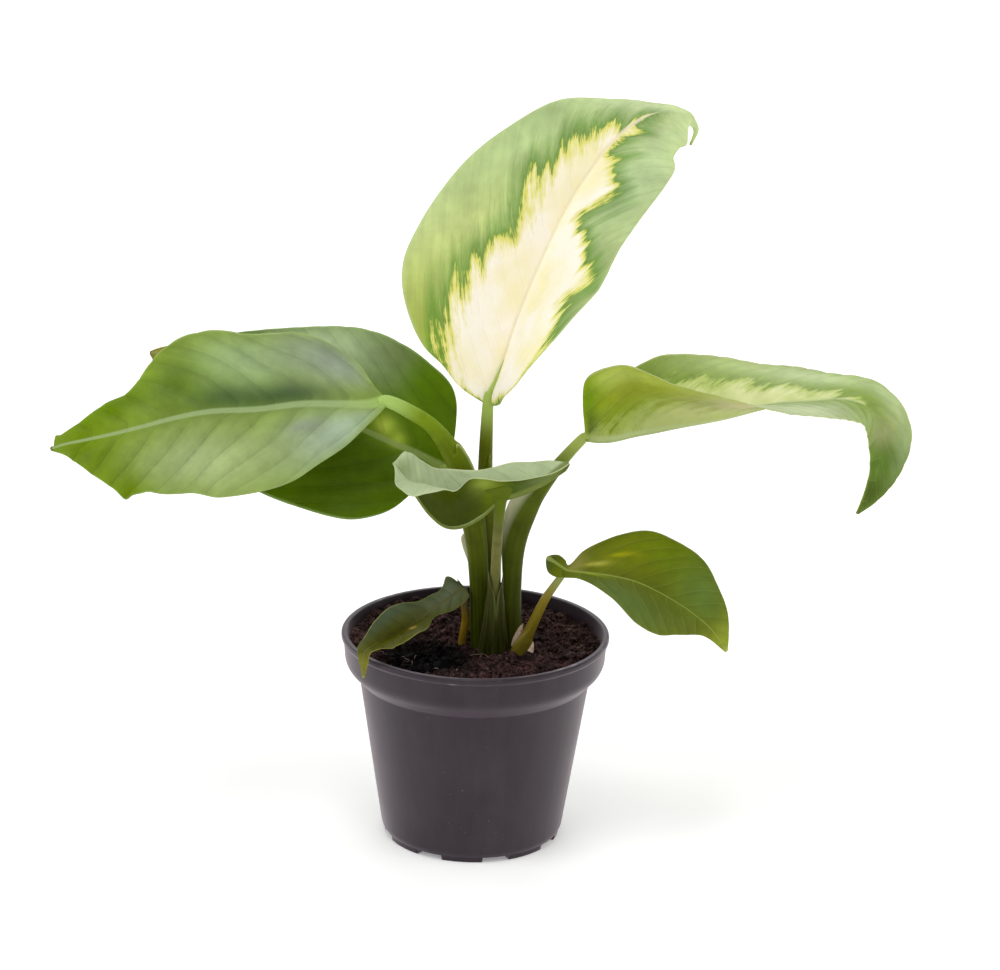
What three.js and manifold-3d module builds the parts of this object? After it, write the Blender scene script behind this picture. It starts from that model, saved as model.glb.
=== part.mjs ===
// Potted dieffenbachia: seven leaves on their stalks, rooted in peat in a small nursery pot.
// Millimetres, +Z up. X runs to the right and Y away from the viewer.
// The origin is the middle of the pot's underside, on the surface that the pot stands on.
import * as THREE from 'three';
import { mergeVertices } from 'three/addons/utils/BufferGeometryUtils.js';
import Module from 'manifold-3d';

const wasm = await Module();
wasm.setup();

// Driving dimensions of the pot
const POT_HEIGHT = 71.6;
const LIP_RADIUS = 45;
const LIP_HEIGHT = 1.6;
const LIP_OVERHANG = 0.8;
const LIP_ROUND = 0.5;
const BAND_FOOT_RADIUS = 43.6;
const BAND_FOOT_Z = 61;
const WALL_TOP_RADIUS = 38.8;
const WALL_TOP_Z = 56;
const WALL_FOOT_RADIUS = 30.7;
const WALL_FOOT_Z = 3.2;
const WALL_THICKNESS = 1.3;
const FLOOR_THICKNESS = 1.6;
const POT_SIDES = 60;

// Underside of the pot: a ring of feet, a ring of drain holes and a flat pad in the middle
const FOOT_HEIGHT = 1.8;
const FOOT_OUTER_RADIUS = 29.6;
const FOOT_INNER_RADIUS = 26.6;
const FOOT_COUNT = 8;
const FOOT_GAP_ANGLE = 18;
const FOOT_TURN = 17;
const DRAIN_COUNT = 8;
const DRAIN_RADIUS = 3;
const DRAIN_RING_RADIUS = 18;
const DRAIN_SIDES = 16;
const FOOT_FLARE = 0.3;
const FOOT_GAP_REACH = 8;
const PAD_RADIUS = 9;

// Soil
const SOIL_GAP = 0.35;
const SOIL_TOP_Z = 68;
const SOIL_LOW_TO_THE_RIGHT = 0.02;
const SOIL_SIDES = 36;
const SOIL_RINGS = 7;

// Leaves and stalks
const BLADE_THICKNESS = 0.7;
const STALK_SIDES = 10;
const STALK_GAP = 0.35;
const KEEL_DEPTH = 1.1;
const SHARPEST_FOLD = 0.4;

// Colours, roughness
const POT_FINISH = { color: 0x57504f, roughness: 0.45, metalness: 0 };
const SOIL_FINISH = { color: 0x3a2a2c, roughness: 1, metalness: 0 };
const PALE_LEAF = { color: 0x9bc177, roughness: 0.4, metalness: 0 };
const GREEN_LEAF = { color: 0x55802a, roughness: 0.35, metalness: 0 };
const DARK_LEAF = { color: 0x466f26, roughness: 0.4, metalness: 0 };
const OLIVE_LEAF = { color: 0x6c7d24, roughness: 0.45, metalness: 0 };
const STALK_FINISH = { color: 0x6f8d1c, roughness: 0.4, metalness: 0 };
const DRY_STALK_FINISH = { color: 0x9a7512, roughness: 0.5, metalness: 0 };

const radians = THREE.MathUtils.degToRad;

// A smooth value between the entries of a list, which may be numbers or rows of numbers.
// The place runs from 0 at the first entry to 1 at the last one.
function along(list, place) {
  const last = list.length - 1;
  const at = Math.min(Math.max(place, 0), 1) * last;
  const i = Math.min(Math.floor(at), last - 1);
  const f = at - i;
  const pick = (k) => list[Math.min(Math.max(k, 0), last)];
  const smooth = (a, b, c, d) => 0.5 * (2 * b + (c - a) * f
    + (2 * a - 5 * b + 4 * c - d) * f * f + (3 * b - a - 3 * c + d) * f * f * f);
  const [a, b, c, d] = [pick(i - 1), pick(i), pick(i + 1), pick(i + 2)];
  return Array.isArray(b) ? b.map((value, k) => smooth(a[k], value, c[k], d[k])) : smooth(a, b, c, d);
}

const pointAlong = (list, place) => new THREE.Vector3(...along(list, place));

// The way that a route runs at one place, averaged over a reach before and after it.
function directionAlong(list, place, reach = 0.01) {
  const ahead = pointAlong(list, Math.min(place + reach, 1));
  return ahead.sub(pointAlong(list, Math.max(place - reach, 0))).normalize();
}

// A closed skin over rings of points. Every ring starts on one edge, runs over the upper face
// to the other edge and comes back along the lower face, and both faces are split alike.
function skin(rings) {
  const count = rings[0].length;
  const half = count / 2;
  const position = rings.flat().flatMap((p) => [p.x, p.y, p.z]);
  const index = [];
  for (let k = 0; k + 1 < rings.length; k += 1) {
    for (let i = 0; i < count; i += 1) {
      const next = (i + 1) % count;
      const [a, b] = [k * count + i, k * count + next];
      const [d, c] = [a + count, b + count];
      if (i < half) {
        index.push(a, b, c, a, c, d);
      } else {
        index.push(a, b, d, b, c, d);
      }
    }
  }
  const end = (rings.length - 1) * count;
  for (let i = 0; i + 1 < half; i += 1) {
    const [a, b, c, d] = [i, i + 1, count - 2 - i, count - 1 - i];
    index.push(a, c, b, a, d, c);
    index.push(end + a, end + b, end + c, end + a, end + c, end + d);
  }
  const geometry = new THREE.BufferGeometry();
  geometry.setAttribute('position', new THREE.Float32BufferAttribute(position, 3));
  geometry.setIndex(index);
  return geometry;
}

// One half of a blade's cross-section: a bow whose chord has the given lift, as a point
// (out from the midrib, up from the blade's plane) and the angle of the surface there.
function bow([width, lift, curl], share) {
  const start = radians(lift - curl / 2);
  const bend = radians(curl);
  const angle = start + bend * share;
  if (Math.abs(bend) < 0.001) {
    return { out: width * share * Math.cos(start), up: width * share * Math.sin(start), angle };
  }
  const out = (width / bend) * (Math.sin(angle) - Math.sin(start));
  const up = (width / bend) * (Math.cos(start) - Math.cos(angle));
  return { out, up, angle };
}

// The direction and length that carry a sheet's thickness round a fold.
function mitre(one, other) {
  const opening = Math.max(1 + one.dot(other), SHARPEST_FOLD);
  return one.clone().add(other).divideScalar(opening);
}

// A leaf blade. Each row is one place along the midrib, from the stalk to the tip: its point,
// then for the left and the right half the width, the lift and the curl of the bow, and how
// far the margin is swept towards the tip. The facing is the way that the upper face looks.
// A cross-section stands square to the midrib as it runs on average within the reach.
function blade({ rows, facing, reach, wave, steps, across }) {
  const midrib = rows.map((row) => row.at);
  const rings = [];
  for (let k = 0; k <= steps; k += 1) {
    const place = k / steps;
    const centre = pointAlong(midrib, place);
    const ahead = directionAlong(midrib, place, reach);
    const right = ahead.clone().cross(pointAlong(facing, place)).normalize();
    const up = right.clone().cross(ahead);
    const halves = { left: along(rows.map((row) => row.left), place),
      right: along(rows.map((row) => row.right), place) };
    const normalOf = (sign, angle) => up.clone().multiplyScalar(Math.cos(angle))
      .addScaledVector(right, -sign * Math.sin(angle));
    const upper = [];
    const lower = [];
    for (let j = -across; j <= across; j += 1) {
      const sign = j < 0 ? -1 : 1;
      const share = Math.abs(j) / across;
      const half = halves[j < 0 ? 'left' : 'right'];
      const arc = bow(half, share);
      const normal = j === 0
        ? mitre(normalOf(-1, bow(halves.left, 0).angle), normalOf(1, bow(halves.right, 0).angle))
        : normalOf(sign, arc.angle);
      const ripple = wave.height * share * share * Math.min(1, half[0] / wave.fadeWidth)
        * Math.sin(2 * Math.PI * (wave.count * place + (j < 0 ? wave.left : wave.right)));
      const keel = j === 0 ? KEEL_DEPTH * (1 - place) : 0;
      const point = centre.clone().addScaledVector(right, sign * arc.out)
        .addScaledVector(up, arc.up).addScaledVector(ahead, half[3] * share * share)
        .addScaledVector(normal, ripple);
      upper.push(point.clone().addScaledVector(normal, BLADE_THICKNESS / 2));
      lower.push(point.clone().addScaledVector(normal, -BLADE_THICKNESS / 2).addScaledVector(up, -keel));
    }
    rings.push([...upper, ...lower.reverse()]);
  }
  return skin(rings);
}

// A stalk with its sheath: rings of an oval, whose half width and half depth follow the route.
// The grown form, which is larger all round, cuts the stalk's hole in the soil.
function stalk({ route, ovals, steps }, grow = 0) {
  const viewer = new THREE.Vector3(0, -1, 0);
  const rings = [];
  for (let k = 0; k <= steps; k += 1) {
    const place = k / steps;
    const centre = pointAlong(route, place);
    const ahead = directionAlong(route, place);
    const side = ahead.clone().cross(viewer).normalize();
    const front = side.clone().cross(ahead);
    const [width, depth] = along(ovals, place);
    if (k === 0) {
      centre.addScaledVector(ahead, -grow);
    }
    rings.push(Array.from({ length: STALK_SIDES }, (_, i) => {
      const turn = (2 * Math.PI * i) / STALK_SIDES;
      return centre.clone().addScaledVector(side, (width + grow) * Math.cos(turn))
        .addScaledVector(front, -(depth + grow) * Math.sin(turn));
    }));
  }
  return skin(rings);
}

// The leaves. Points and widths in millimetres, lift and curl in degrees.
const LEAVES = {
  leaf_upright: {
    finish: PALE_LEAF,
    stalkFinish: STALK_FINISH,
    facing: [[0, -0.95, 0.32], [0, -0.95, 0.32], [0, -0.9, 0.4], [0, -0.6, 0.8], [0, -0.5, 0.86]],
    reach: 0.02,
    wave: { height: 0.8, count: 3, left: 0, right: 0.4, fadeWidth: 20 },
    steps: 26,
    across: 5,
    rows: [
      { at: [2.5, -2, 152], left: [1.8, 0, 0, 0], right: [1.8, 40, 0, 0] },
      { at: [3.6, -1.2, 155], left: [14, 5, 0, 0], right: [12, 72, 0, 0] },
      { at: [6.5, 1, 162], left: [27, 4, -10, 0], right: [26, 76, -20, 0] },
      { at: [12, 6, 179.5], left: [41, 0, -15, 0], right: [38, 66, -25, 0] },
      { at: [17.5, 11, 193], left: [42, 0, -15, 0], right: [40, 58, -25, 0] },
      { at: [25, 16.5, 209.5], left: [38, 0, -15, 0], right: [37, 54, -25, 0] },
      { at: [31.5, 20.5, 221], left: [32, 0, -15, 0], right: [32, 44, -20, 0] },
      { at: [40.5, 26, 233], left: [24.5, -6, -10, 0], right: [27, 27, -15, 0] },
      { at: [50.5, 31, 241], left: [16, -30, 0, 0], right: [20.5, 4, -10, 0] },
      { at: [59, 34, 243], left: [9, -35, 0, 0], right: [16, 4, 0, 0] },
      { at: [65.5, 36, 241.8], left: [4, -20, 0, 0], right: [12.5, 0, 0, 0] },
      { at: [68.2, 36.8, 240], left: [1.1, 0, 0, 0], right: [3.4, 0, 0, 0] },
      { at: [69.4, 37, 236.4], left: [0.8, 0, 0, 0], right: [1, 0, 0, 0] },
      { at: [67.6, 36.5, 231.6], left: [0.4, 0, 0, 0], right: [0.4, 0, 0, 0] },
    ],
    stalk: {
      route: [[6.7, 1.4, 52], [6.2, 1.4, 72], [4.4, 0.9, 92], [2.6, -0.6, 112], [2.1, -1.8, 130],
        [2.3, -2, 151.2]],
      ovals: [[2.7, 2.4], [2.8, 2.5], [2.7, 2.4], [2.6, 2.3], [2.4, 2.2], [2.1, 1.8]],
      steps: 14,
    },
  },
  leaf_left_front: {
    finish: GREEN_LEAF,
    stalkFinish: STALK_FINISH,
    facing: [[0, -0.75, 0.65], [0, -0.75, 0.65]],
    reach: 0.04,
    wave: { height: 1, count: 3.5, left: 0.1, right: 0.6, fadeWidth: 14 },
    steps: 26,
    across: 5,
    rows: [
      { at: [-31, -10, 155], left: [1.8, -10, 0, 0], right: [1.8, 5, 0, 0] },
      { at: [-36, -11, 154], left: [6, -10, 0, 0], right: [11, 5, 0, 0] },
      { at: [-45, -12, 154], left: [15, -10, -15, 0], right: [18, 5, -15, 0] },
      { at: [-58, -13, 154], left: [23, -10, -20, 0], right: [25, 5, -15, 0] },
      { at: [-72, -15, 152.5], left: [27.5, -8, -20, 0], right: [26.5, 5, -15, 0] },
      { at: [-87, -17, 152], left: [29, -8, -20, 0], right: [27.5, 5, -15, 0] },
      { at: [-98, -18, 150], left: [26.5, -5, -15, 0], right: [24, 5, -10, 0] },
      { at: [-110, -20, 147], left: [25, 0, -10, 0], right: [13.5, 5, -10, 0] },
      { at: [-119, -22, 145], left: [21, 0, -10, 0], right: [10.5, 5, 0, 0] },
      { at: [-127.5, -24, 143.5], left: [12.5, 0, 0, 0], right: [6.5, 5, 0, 0] },
      { at: [-134, -26, 142.5], left: [5, 0, 0, 0], right: [3.5, 0, 0, 0] },
      { at: [-138, -28, 141.5], left: [0.5, 0, 0, 0], right: [0.5, 0, 0, 0] },
    ],
    stalk: {
      route: [[1.5, -2.2, 52], [1.5, -2.5, 70], [1.1, -3.6, 86], [0.2, -5.6, 100], [-1.4, -7.6, 112],
        [-3.9, -9.4, 124], [-7.5, -10, 135], [-15, -10, 146], [-24, -10, 152], [-29.8, -10, 154.6]],
      ovals: [[2.5, 2.4], [2.6, 2.5], [2.7, 2.6], [2.9, 2.7], [3.2, 2.7], [3.8, 2.7], [3.6, 2.6],
        [2.6, 2.4], [2.3, 2.1], [2, 1.5]],
      steps: 20,
    },
  },
  leaf_left_back: {
    finish: DARK_LEAF,
    stalkFinish: STALK_FINISH,
    facing: [[0.15, -0.8, 0.58], [0.15, -0.8, 0.58]],
    reach: 0.04,
    wave: { height: 0.8, count: 3, left: 0.3, right: 0.8, fadeWidth: 16 },
    steps: 24,
    across: 5,
    rows: [
      { at: [-11, 3, 127.3], left: [1.8, 0, 0, 0], right: [1.8, 0, 0, 0] },
      { at: [-14.3, 3.5, 129.2], left: [8, 0, 0, 0], right: [13, 5, 0, 0] },
      { at: [-19.6, 4, 132], left: [20, 0, 0, 0], right: [25.5, 5, -10, 0] },
      { at: [-28, 5, 135.3], left: [28.5, 0, -10, 0], right: [30.5, 5, -15, 0] },
      { at: [-36.4, 6, 138.6], left: [32.5, 0, -15, 0], right: [32.5, 5, -15, 0] },
      { at: [-48, 8, 143.6], left: [34.5, 0, -15, 0], right: [32, 5, -15, 0] },
      { at: [-60, 10, 148.3], left: [35, 0, -15, 0], right: [28, 5, -15, 0] },
      { at: [-73, 11, 153.9], left: [33, 0, -15, 0], right: [20.5, 5, -10, 0] },
      { at: [-86.6, 12, 158.8], left: [27, 0, -10, 0], right: [12, 5, 0, 0] },
      { at: [-98, 13, 161.7], left: [16, 0, 0, 0], right: [5, 0, 0, 0] },
      { at: [-106.6, 14, 162.2], left: [6, 0, 0, 0], right: [2, 0, 0, 0] },
      { at: [-110, 14, 162.2], left: [0.5, 0, 0, 0], right: [0.5, 0, 0, 0] },
    ],
    stalk: {
      route: [[0.6, 5.4, 52], [0.7, 5.8, 72], [0.6, 6.4, 92], [-0.8, 6.2, 112], [-4.8, 4.5, 122.6],
        [-10.4, 3.1, 126.9]],
      ovals: [[2.5, 2.4], [2.6, 2.5], [2.4, 2.3], [2.2, 2.1], [2, 2], [1.8, 1.5]],
      steps: 16,
    },
  },
  leaf_right: {
    finish: PALE_LEAF,
    stalkFinish: STALK_FINISH,
    facing: [[0, 0, 1], [0, 0, 1], [0, 0, 1], [0, 0, 1], [0.1, -0.1, 1], [0.5, -0.5, 0.7],
      [0.6, -0.75, 0.3], [0.5, -0.85, 0.1]],
    reach: 0.12,
    wave: { height: 0.6, count: 4, left: 0.2, right: 0.5, fadeWidth: 14 },
    steps: 28,
    across: 5,
    rows: [
      { at: [34.5, -5, 142.5], left: [1.6, 20, 0, 0], right: [2, 74, 0, 0] },
      { at: [36, -5.3, 142.4], left: [9, 26, 0, 0], right: [13, 78, -10, -2] },
      { at: [39, -5.6, 142.3], left: [16, 30, -10, 0], right: [21, 79, -15, -2.5] },
      { at: [44, -6, 142.8], left: [21, 33, -15, 0], right: [25, 79, -20, -1.5] },
      { at: [52, -6, 144.8], left: [25, 35, -20, 0], right: [27, 74, -30, 0] },
      { at: [65, -6, 147.7], left: [28, 40, -20, 0], right: [28, 48, -30, 0] },
      { at: [80, -5, 150.5], left: [28, 32, -20, 0], right: [28, 29, -20, 0] },
      { at: [96.5, -3, 154.4], left: [27, 12, -15, 0], right: [26, 11, -15, 0] },
      { at: [109, -2, 155.4], left: [24, 7, -10, 0], right: [22, 8, -15, 0] },
      { at: [119, -1, 156], left: [21, -2, -10, 0], right: [17, 5, -10, 0] },
      { at: [127, -0.5, 153.5], left: [18, -4, -10, 0], right: [12, 5, 0, 0] },
      { at: [131, -1.5, 147.5], left: [17, -5, -10, 0], right: [8, 5, 0, 0] },
      { at: [132, -3, 140.5], left: [15, -5, -10, 0], right: [5.5, 5, 0, 0] },
      { at: [131, -5, 132.5], left: [11, -5, 0, 0], right: [3.5, 5, 0, 0] },
      { at: [128.3, -7, 124.5], left: [4.5, 0, 0, 0], right: [2.2, 0, 0, 0] },
      { at: [125, -8, 119], left: [0.5, 0, 0, 0], right: [0.5, 0, 0, 0] },
    ],
    stalk: {
      route: [[12.6, -3.6, 52], [12.5, -3.4, 70], [11.9, -2.4, 88], [12.4, -2, 104], [17.3, -2.6, 118.6],
        [27, -4, 133.2], [33.2, -5, 141]],
      ovals: [[2.6, 2.4], [2.7, 2.5], [2.7, 2.4], [3.4, 2.4], [3.4, 2.3], [2.1, 2], [1.7, 1.5]],
      steps: 18,
    },
  },
  leaf_centre: {
    finish: OLIVE_LEAF,
    stalkFinish: STALK_FINISH,
    facing: [[0, 0, 1], [0, 0, 1]],
    reach: 0.5,
    wave: { height: 0.5, count: 3, left: 0, right: 0.5, fadeWidth: 10 },
    steps: 22,
    across: 5,
    rows: [
      { at: [29.6, -19, 137.7], left: [0.5, 30, 0, 0], right: [0.5, 45, 0, 0] },
      { at: [25.4, -20, 134.8], left: [2, 30, 0, 0], right: [5, 50, 0, 0] },
      { at: [20.2, -21, 131.5], left: [4.5, 50, -20, 0], right: [8, 50, 0, 0] },
      { at: [13.7, -22, 128.6], left: [6.5, 60, -30, 0], right: [10.5, 50, -10, 0] },
      { at: [7.2, -22, 125.7], left: [8.5, 65, -40, 0], right: [11.5, 55, -10, 0] },
      { at: [1.5, -23, 120.3], left: [15, 75, -60, 0], right: [15.5, 62, -10, 0] },
      { at: [-4.4, -24, 117.1], left: [20, 74, -60, 0], right: [18.5, 63, -10, 0] },
      { at: [-10.3, -25, 117.3], left: [20.8, 57, -80, 0], right: [19, 62, -10, 0] },
      { at: [-15.6, -26, 122], left: [19.5, 43, -90, 0], right: [15.5, 58, 0, 0] },
      { at: [-20.2, -27, 129], left: [15, 18, -110, 0], right: [12, 50, 0, 0] },
      { at: [-25, -28, 136.6], left: [8, -28, -40, 0], right: [7.2, 45, 0, 0] },
      { at: [-27.6, -28, 139.4], left: [0.5, 0, 0, 0], right: [0.5, 0, 0, 0] },
    ],
    stalk: {
      route: [[6.3, -8.5, 52], [6.2, -8.6, 68], [6.3, -10.4, 81], [6.4, -14.6, 102], [6.9, -19.5, 116],
        [7.7, -21.5, 123.4]],
      ovals: [[3.6, 2.6], [4.6, 3], [3.2, 2.6], [1.8, 1.7], [1.5, 1.5], [1.2, 1.2]],
      steps: 16,
    },
  },
  leaf_low_right: {
    finish: OLIVE_LEAF,
    stalkFinish: DRY_STALK_FINISH,
    facing: [[0.1, -0.7, 0.7], [0.1, -0.7, 0.7], [0.3, -0.7, 0.65]],
    reach: 0.05,
    wave: { height: 0.5, count: 3, left: 0, right: 0.5, fadeWidth: 10 },
    steps: 18,
    across: 4,
    rows: [
      { at: [23, -15.4, 103.9], left: [0.5, 10, 0, 0], right: [0.5, 10, 0, 0] },
      { at: [24.2, -15.6, 103.2], left: [2, 10, 0, 0], right: [3, 10, 0, 0] },
      { at: [25.8, -15.8, 102.2], left: [3, 10, 0, 0], right: [5, 15, 0, 0] },
      { at: [27.8, -16, 100.9], left: [2.8, 10, 0, 0], right: [5, 15, 0, 0] },
      { at: [30, -16.2, 99.7], left: [2.2, 5, 0, 0], right: [3.2, 15, 0, 0] },
      { at: [34, -16.6, 99.3], left: [7.5, 0, 0, 0], right: [3, 24, 0, 0] },
      { at: [39, -17, 99], left: [11.5, 0, 0, 0], right: [5.5, 25, 0, 0] },
      { at: [45, -17.5, 98.4], left: [16, 0, -10, 0], right: [10.5, 24, -10, 0] },
      { at: [52, -18, 97], left: [20, 0, -10, 0], right: [16, 22, -10, 0] },
      { at: [59, -19, 94.3], left: [20, 0, -15, 0], right: [18, 20, -15, 0] },
      { at: [66, -20, 90.7], left: [19, 0, -15, 0], right: [16.5, 18, -15, 0] },
      { at: [71.5, -21, 87.3], left: [15.5, 0, -10, 0], right: [11, 15, -10, 0] },
      { at: [77.5, -22, 82.5], left: [9.5, 0, 0, 0], right: [4, 5, 0, 0] },
      { at: [83, -24, 75.5], left: [0.5, 0, 0, 0], right: [0.5, 0, 0, 0] },
    ],
    stalk: {
      route: [[14.2, -10.4, 52], [14.5, -10.4, 67], [17.9, -11.2, 76], [22.4, -13.2, 87.4],
        [25.4, -14.4, 93], [28.8, -15.6, 98.2]],
      ovals: [[2.6, 2.3], [2.7, 2.4], [1.9, 1.9], [1.5, 1.4], [1.3, 1.3], [1.2, 1.1]],
      steps: 12,
    },
  },
  leaf_low_left: {
    finish: OLIVE_LEAF,
    stalkFinish: DRY_STALK_FINISH,
    facing: [[0, -0.4, 1], [0, -0.3, 1], [0, -0.2, 1], [-0.2, -0.3, 1], [-0.7, -0.6, 0.6]],
    reach: 0.25,
    wave: { height: 0.5, count: 3, left: 0, right: 0.5, fadeWidth: 6 },
    steps: 20,
    across: 3,
    rows: [
      { at: [-3.6, -5, 88.6], left: [1, 0, 0, 0], right: [1, 20, 0, 0] },
      { at: [-5, -5.6, 88.4], left: [4, -20, 0, 0], right: [5, 45, 0, 0] },
      { at: [-9.7, -8, 85.6], left: [4.4, -25, 0, 0], right: [4.6, 45, 0, 0] },
      { at: [-15.5, -11, 81.8], left: [3, 0, -20, 0], right: [5, 40, -10, 0] },
      { at: [-20.5, -14, 79], left: [8.5, 15, -20, 0], right: [8, 52, -10, 0] },
      { at: [-25.5, -18, 77], left: [9.5, 22, -20, 0], right: [9, 60, -10, 0] },
      { at: [-30, -22, 76], left: [8, 15, -20, 0], right: [7, 56, -10, 0] },
      { at: [-33.4, -26.8, 75.8], left: [5.5, 5, 0, 0], right: [4, 50, 0, 0] },
      { at: [-35.8, -31, 75], left: [2.8, 10, 0, 0], right: [3, 20, 0, 0] },
      { at: [-36.4, -32, 71.2], left: [1.9, 0, 0, 0], right: [1.4, 0, 0, 0] },
      { at: [-36.2, -31.8, 66.4], left: [0.5, 0, 0, 0], right: [0.5, 0, 0, 0] },
    ],
    stalk: {
      route: [[-4.6, -1.4, 52], [-4.4, -1.4, 67], [-3.5, -2.4, 76], [-3.9, -4, 82], [-3.7, -4.5, 86.5]],
      ovals: [[1.4, 1.3], [1.4, 1.3], [1.2, 1.1], [1.1, 1], [0.9, 0.9]],
      steps: 12,
    },
  },
};

function solid(geometry) {
  const bare = geometry.clone();
  bare.deleteAttribute('normal');
  bare.deleteAttribute('uv');
  const merged = mergeVertices(bare, 0.001);
  return new wasm.Manifold(new wasm.Mesh({
    numProp: 3,
    vertProperties: new Float32Array(merged.attributes.position.array),
    triVerts: new Uint32Array(merged.index.array),
  }));
}

function geometryOf(body) {
  const mesh = body.getMesh();
  const geometry = new THREE.BufferGeometry();
  geometry.setAttribute('position', new THREE.BufferAttribute(new Float32Array(mesh.vertProperties), 3));
  geometry.setIndex(new THREE.BufferAttribute(new Uint32Array(mesh.triVerts), 1));
  return geometry;
}

function turned(profile, sides) {
  return new THREE.LatheGeometry(profile.map(([r, z]) => new THREE.Vector2(r, z)), sides).rotateX(Math.PI / 2);
}

function ringOf(count, turn, make) {
  return Array.from({ length: count }, (_, i) => make(radians(turn + (360 * i) / count)));
}

// The pot: a turned shell with gaps cut between its feet and drain holes through its floor.
function potGeometry() {
  const lipZ = POT_HEIGHT - LIP_HEIGHT;
  const bandTopRadius = LIP_RADIUS - LIP_OVERHANG;
  const floorTop = FOOT_HEIGHT + FLOOR_THICKNESS;
  const profile = [
    [0, 0],
    [PAD_RADIUS, 0],
    [PAD_RADIUS + FOOT_HEIGHT / 2, FOOT_HEIGHT],
    [FOOT_INNER_RADIUS - FOOT_HEIGHT / 4, FOOT_HEIGHT],
    [FOOT_INNER_RADIUS, 0],
    [FOOT_OUTER_RADIUS, 0],
    [FOOT_OUTER_RADIUS + FOOT_FLARE, FOOT_HEIGHT],
    [WALL_FOOT_RADIUS, WALL_FOOT_Z],
    [WALL_TOP_RADIUS, WALL_TOP_Z],
    [BAND_FOOT_RADIUS, BAND_FOOT_Z],
    [bandTopRadius, lipZ - LIP_OVERHANG],
    [LIP_RADIUS, lipZ],
    [LIP_RADIUS, POT_HEIGHT - LIP_ROUND],
    [LIP_RADIUS - LIP_ROUND, POT_HEIGHT],
    [bandTopRadius - WALL_THICKNESS, POT_HEIGHT],
    [BAND_FOOT_RADIUS - WALL_THICKNESS, BAND_FOOT_Z],
    [WALL_TOP_RADIUS - WALL_THICKNESS, WALL_TOP_Z],
    [WALL_FOOT_RADIUS - WALL_THICKNESS, floorTop],
    [0, floorTop],
  ];
  let pot = solid(turned(profile, POT_SIDES));
  const gapWidth = 2 * FOOT_OUTER_RADIUS * Math.tan(radians(FOOT_GAP_ANGLE / 2));
  ringOf(FOOT_COUNT, FOOT_TURN, (angle) => {
    const gap = new THREE.BoxGeometry(FOOT_GAP_REACH, gapWidth, 2 * FOOT_HEIGHT)
      .translate(FOOT_OUTER_RADIUS, 0, 0).rotateZ(angle);
    pot = pot.subtract(solid(gap));
  });
  ringOf(DRAIN_COUNT, 0, (angle) => {
    const drain = new THREE.CylinderGeometry(DRAIN_RADIUS, DRAIN_RADIUS, 3 * floorTop, DRAIN_SIDES)
      .rotateX(Math.PI / 2).translate(DRAIN_RING_RADIUS, 0, 0).rotateZ(angle);
    pot = pot.subtract(solid(drain));
  });
  return geometryOf(pot);
}

// Lumps of the soil's surface, the same wherever two faces meet.
function soilLump(x, y) {
  return 0.7 * Math.sin(0.31 * x + 0.9) * Math.cos(0.27 * y) + 0.45 * Math.sin(0.53 * y - 0.4 * x)
    + 0.3 * Math.cos(0.83 * x + 0.71 * y);
}

// The soil fills the pot up to a lumpy top, with a plain hole for each stalk.
function soilGeometry() {
  const inset = WALL_THICKNESS + SOIL_GAP;
  const floor = FOOT_HEIGHT + FLOOR_THICKNESS + SOIL_GAP;
  const topRadius = BAND_FOOT_RADIUS - inset;
  const profile = [
    [0, floor],
    [WALL_FOOT_RADIUS - inset, floor],
    [WALL_TOP_RADIUS - inset, WALL_TOP_Z],
    [topRadius, BAND_FOOT_Z],
  ];
  for (let k = 0; k <= SOIL_RINGS; k += 1) {
    profile.push([topRadius * (1 - k / SOIL_RINGS), SOIL_TOP_Z]);
  }
  const heap = turned(profile, SOIL_SIDES);
  const position = heap.attributes.position;
  for (let i = 0; i < position.count; i += 1) {
    if (position.getZ(i) > BAND_FOOT_Z + 1) {
      const [x, y] = [position.getX(i), position.getY(i)];
      position.setZ(i, SOIL_TOP_Z - SOIL_LOW_TO_THE_RIGHT * x + soilLump(x, y));
    }
  }
  let soil = solid(heap);
  for (const leaf of Object.values(LEAVES)) {
    soil = soil.subtract(solid(stalk(leaf.stalk, STALK_GAP)));
  }
  return geometryOf(soil);
}

function piece(name, geometry, finish) {
  const mesh = new THREE.Mesh(geometry, new THREE.MeshStandardMaterial(finish));
  mesh.name = name;
  return mesh;
}

const plant = new THREE.Group();
plant.add(piece('pot', potGeometry(), POT_FINISH));
plant.add(piece('potting_soil', soilGeometry(), SOIL_FINISH));
for (const [name, leaf] of Object.entries(LEAVES)) {
  plant.add(piece(`${name}_stalk`, stalk(leaf.stalk), leaf.stalkFinish));
  plant.add(piece(`${name}_blade`, blade(leaf), leaf.finish));
}

export default plant;
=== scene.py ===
"""A potted dieffenbachia: the finished leaves, stalks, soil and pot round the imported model."""
import math
import random

import bmesh
import bpy
import numpy as np
from mathutils import Matrix, Vector, noise


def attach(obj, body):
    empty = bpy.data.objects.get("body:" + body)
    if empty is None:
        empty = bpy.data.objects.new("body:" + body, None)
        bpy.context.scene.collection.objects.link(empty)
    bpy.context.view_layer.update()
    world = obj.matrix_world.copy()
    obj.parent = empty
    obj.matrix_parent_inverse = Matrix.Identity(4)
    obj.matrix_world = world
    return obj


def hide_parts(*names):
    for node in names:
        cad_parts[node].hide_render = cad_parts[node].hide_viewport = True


bl_info = {
    "name": "Potted Dieffenbachia",
    "version": (1, 0, 0),
    "blender": (4, 5, 0),
    "location": "3D View > Sidebar > Dieffenbachia",
    "description": "Builds a small dieffenbachia with its soil and nursery pot",
    "category": "Add Mesh",
}

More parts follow.
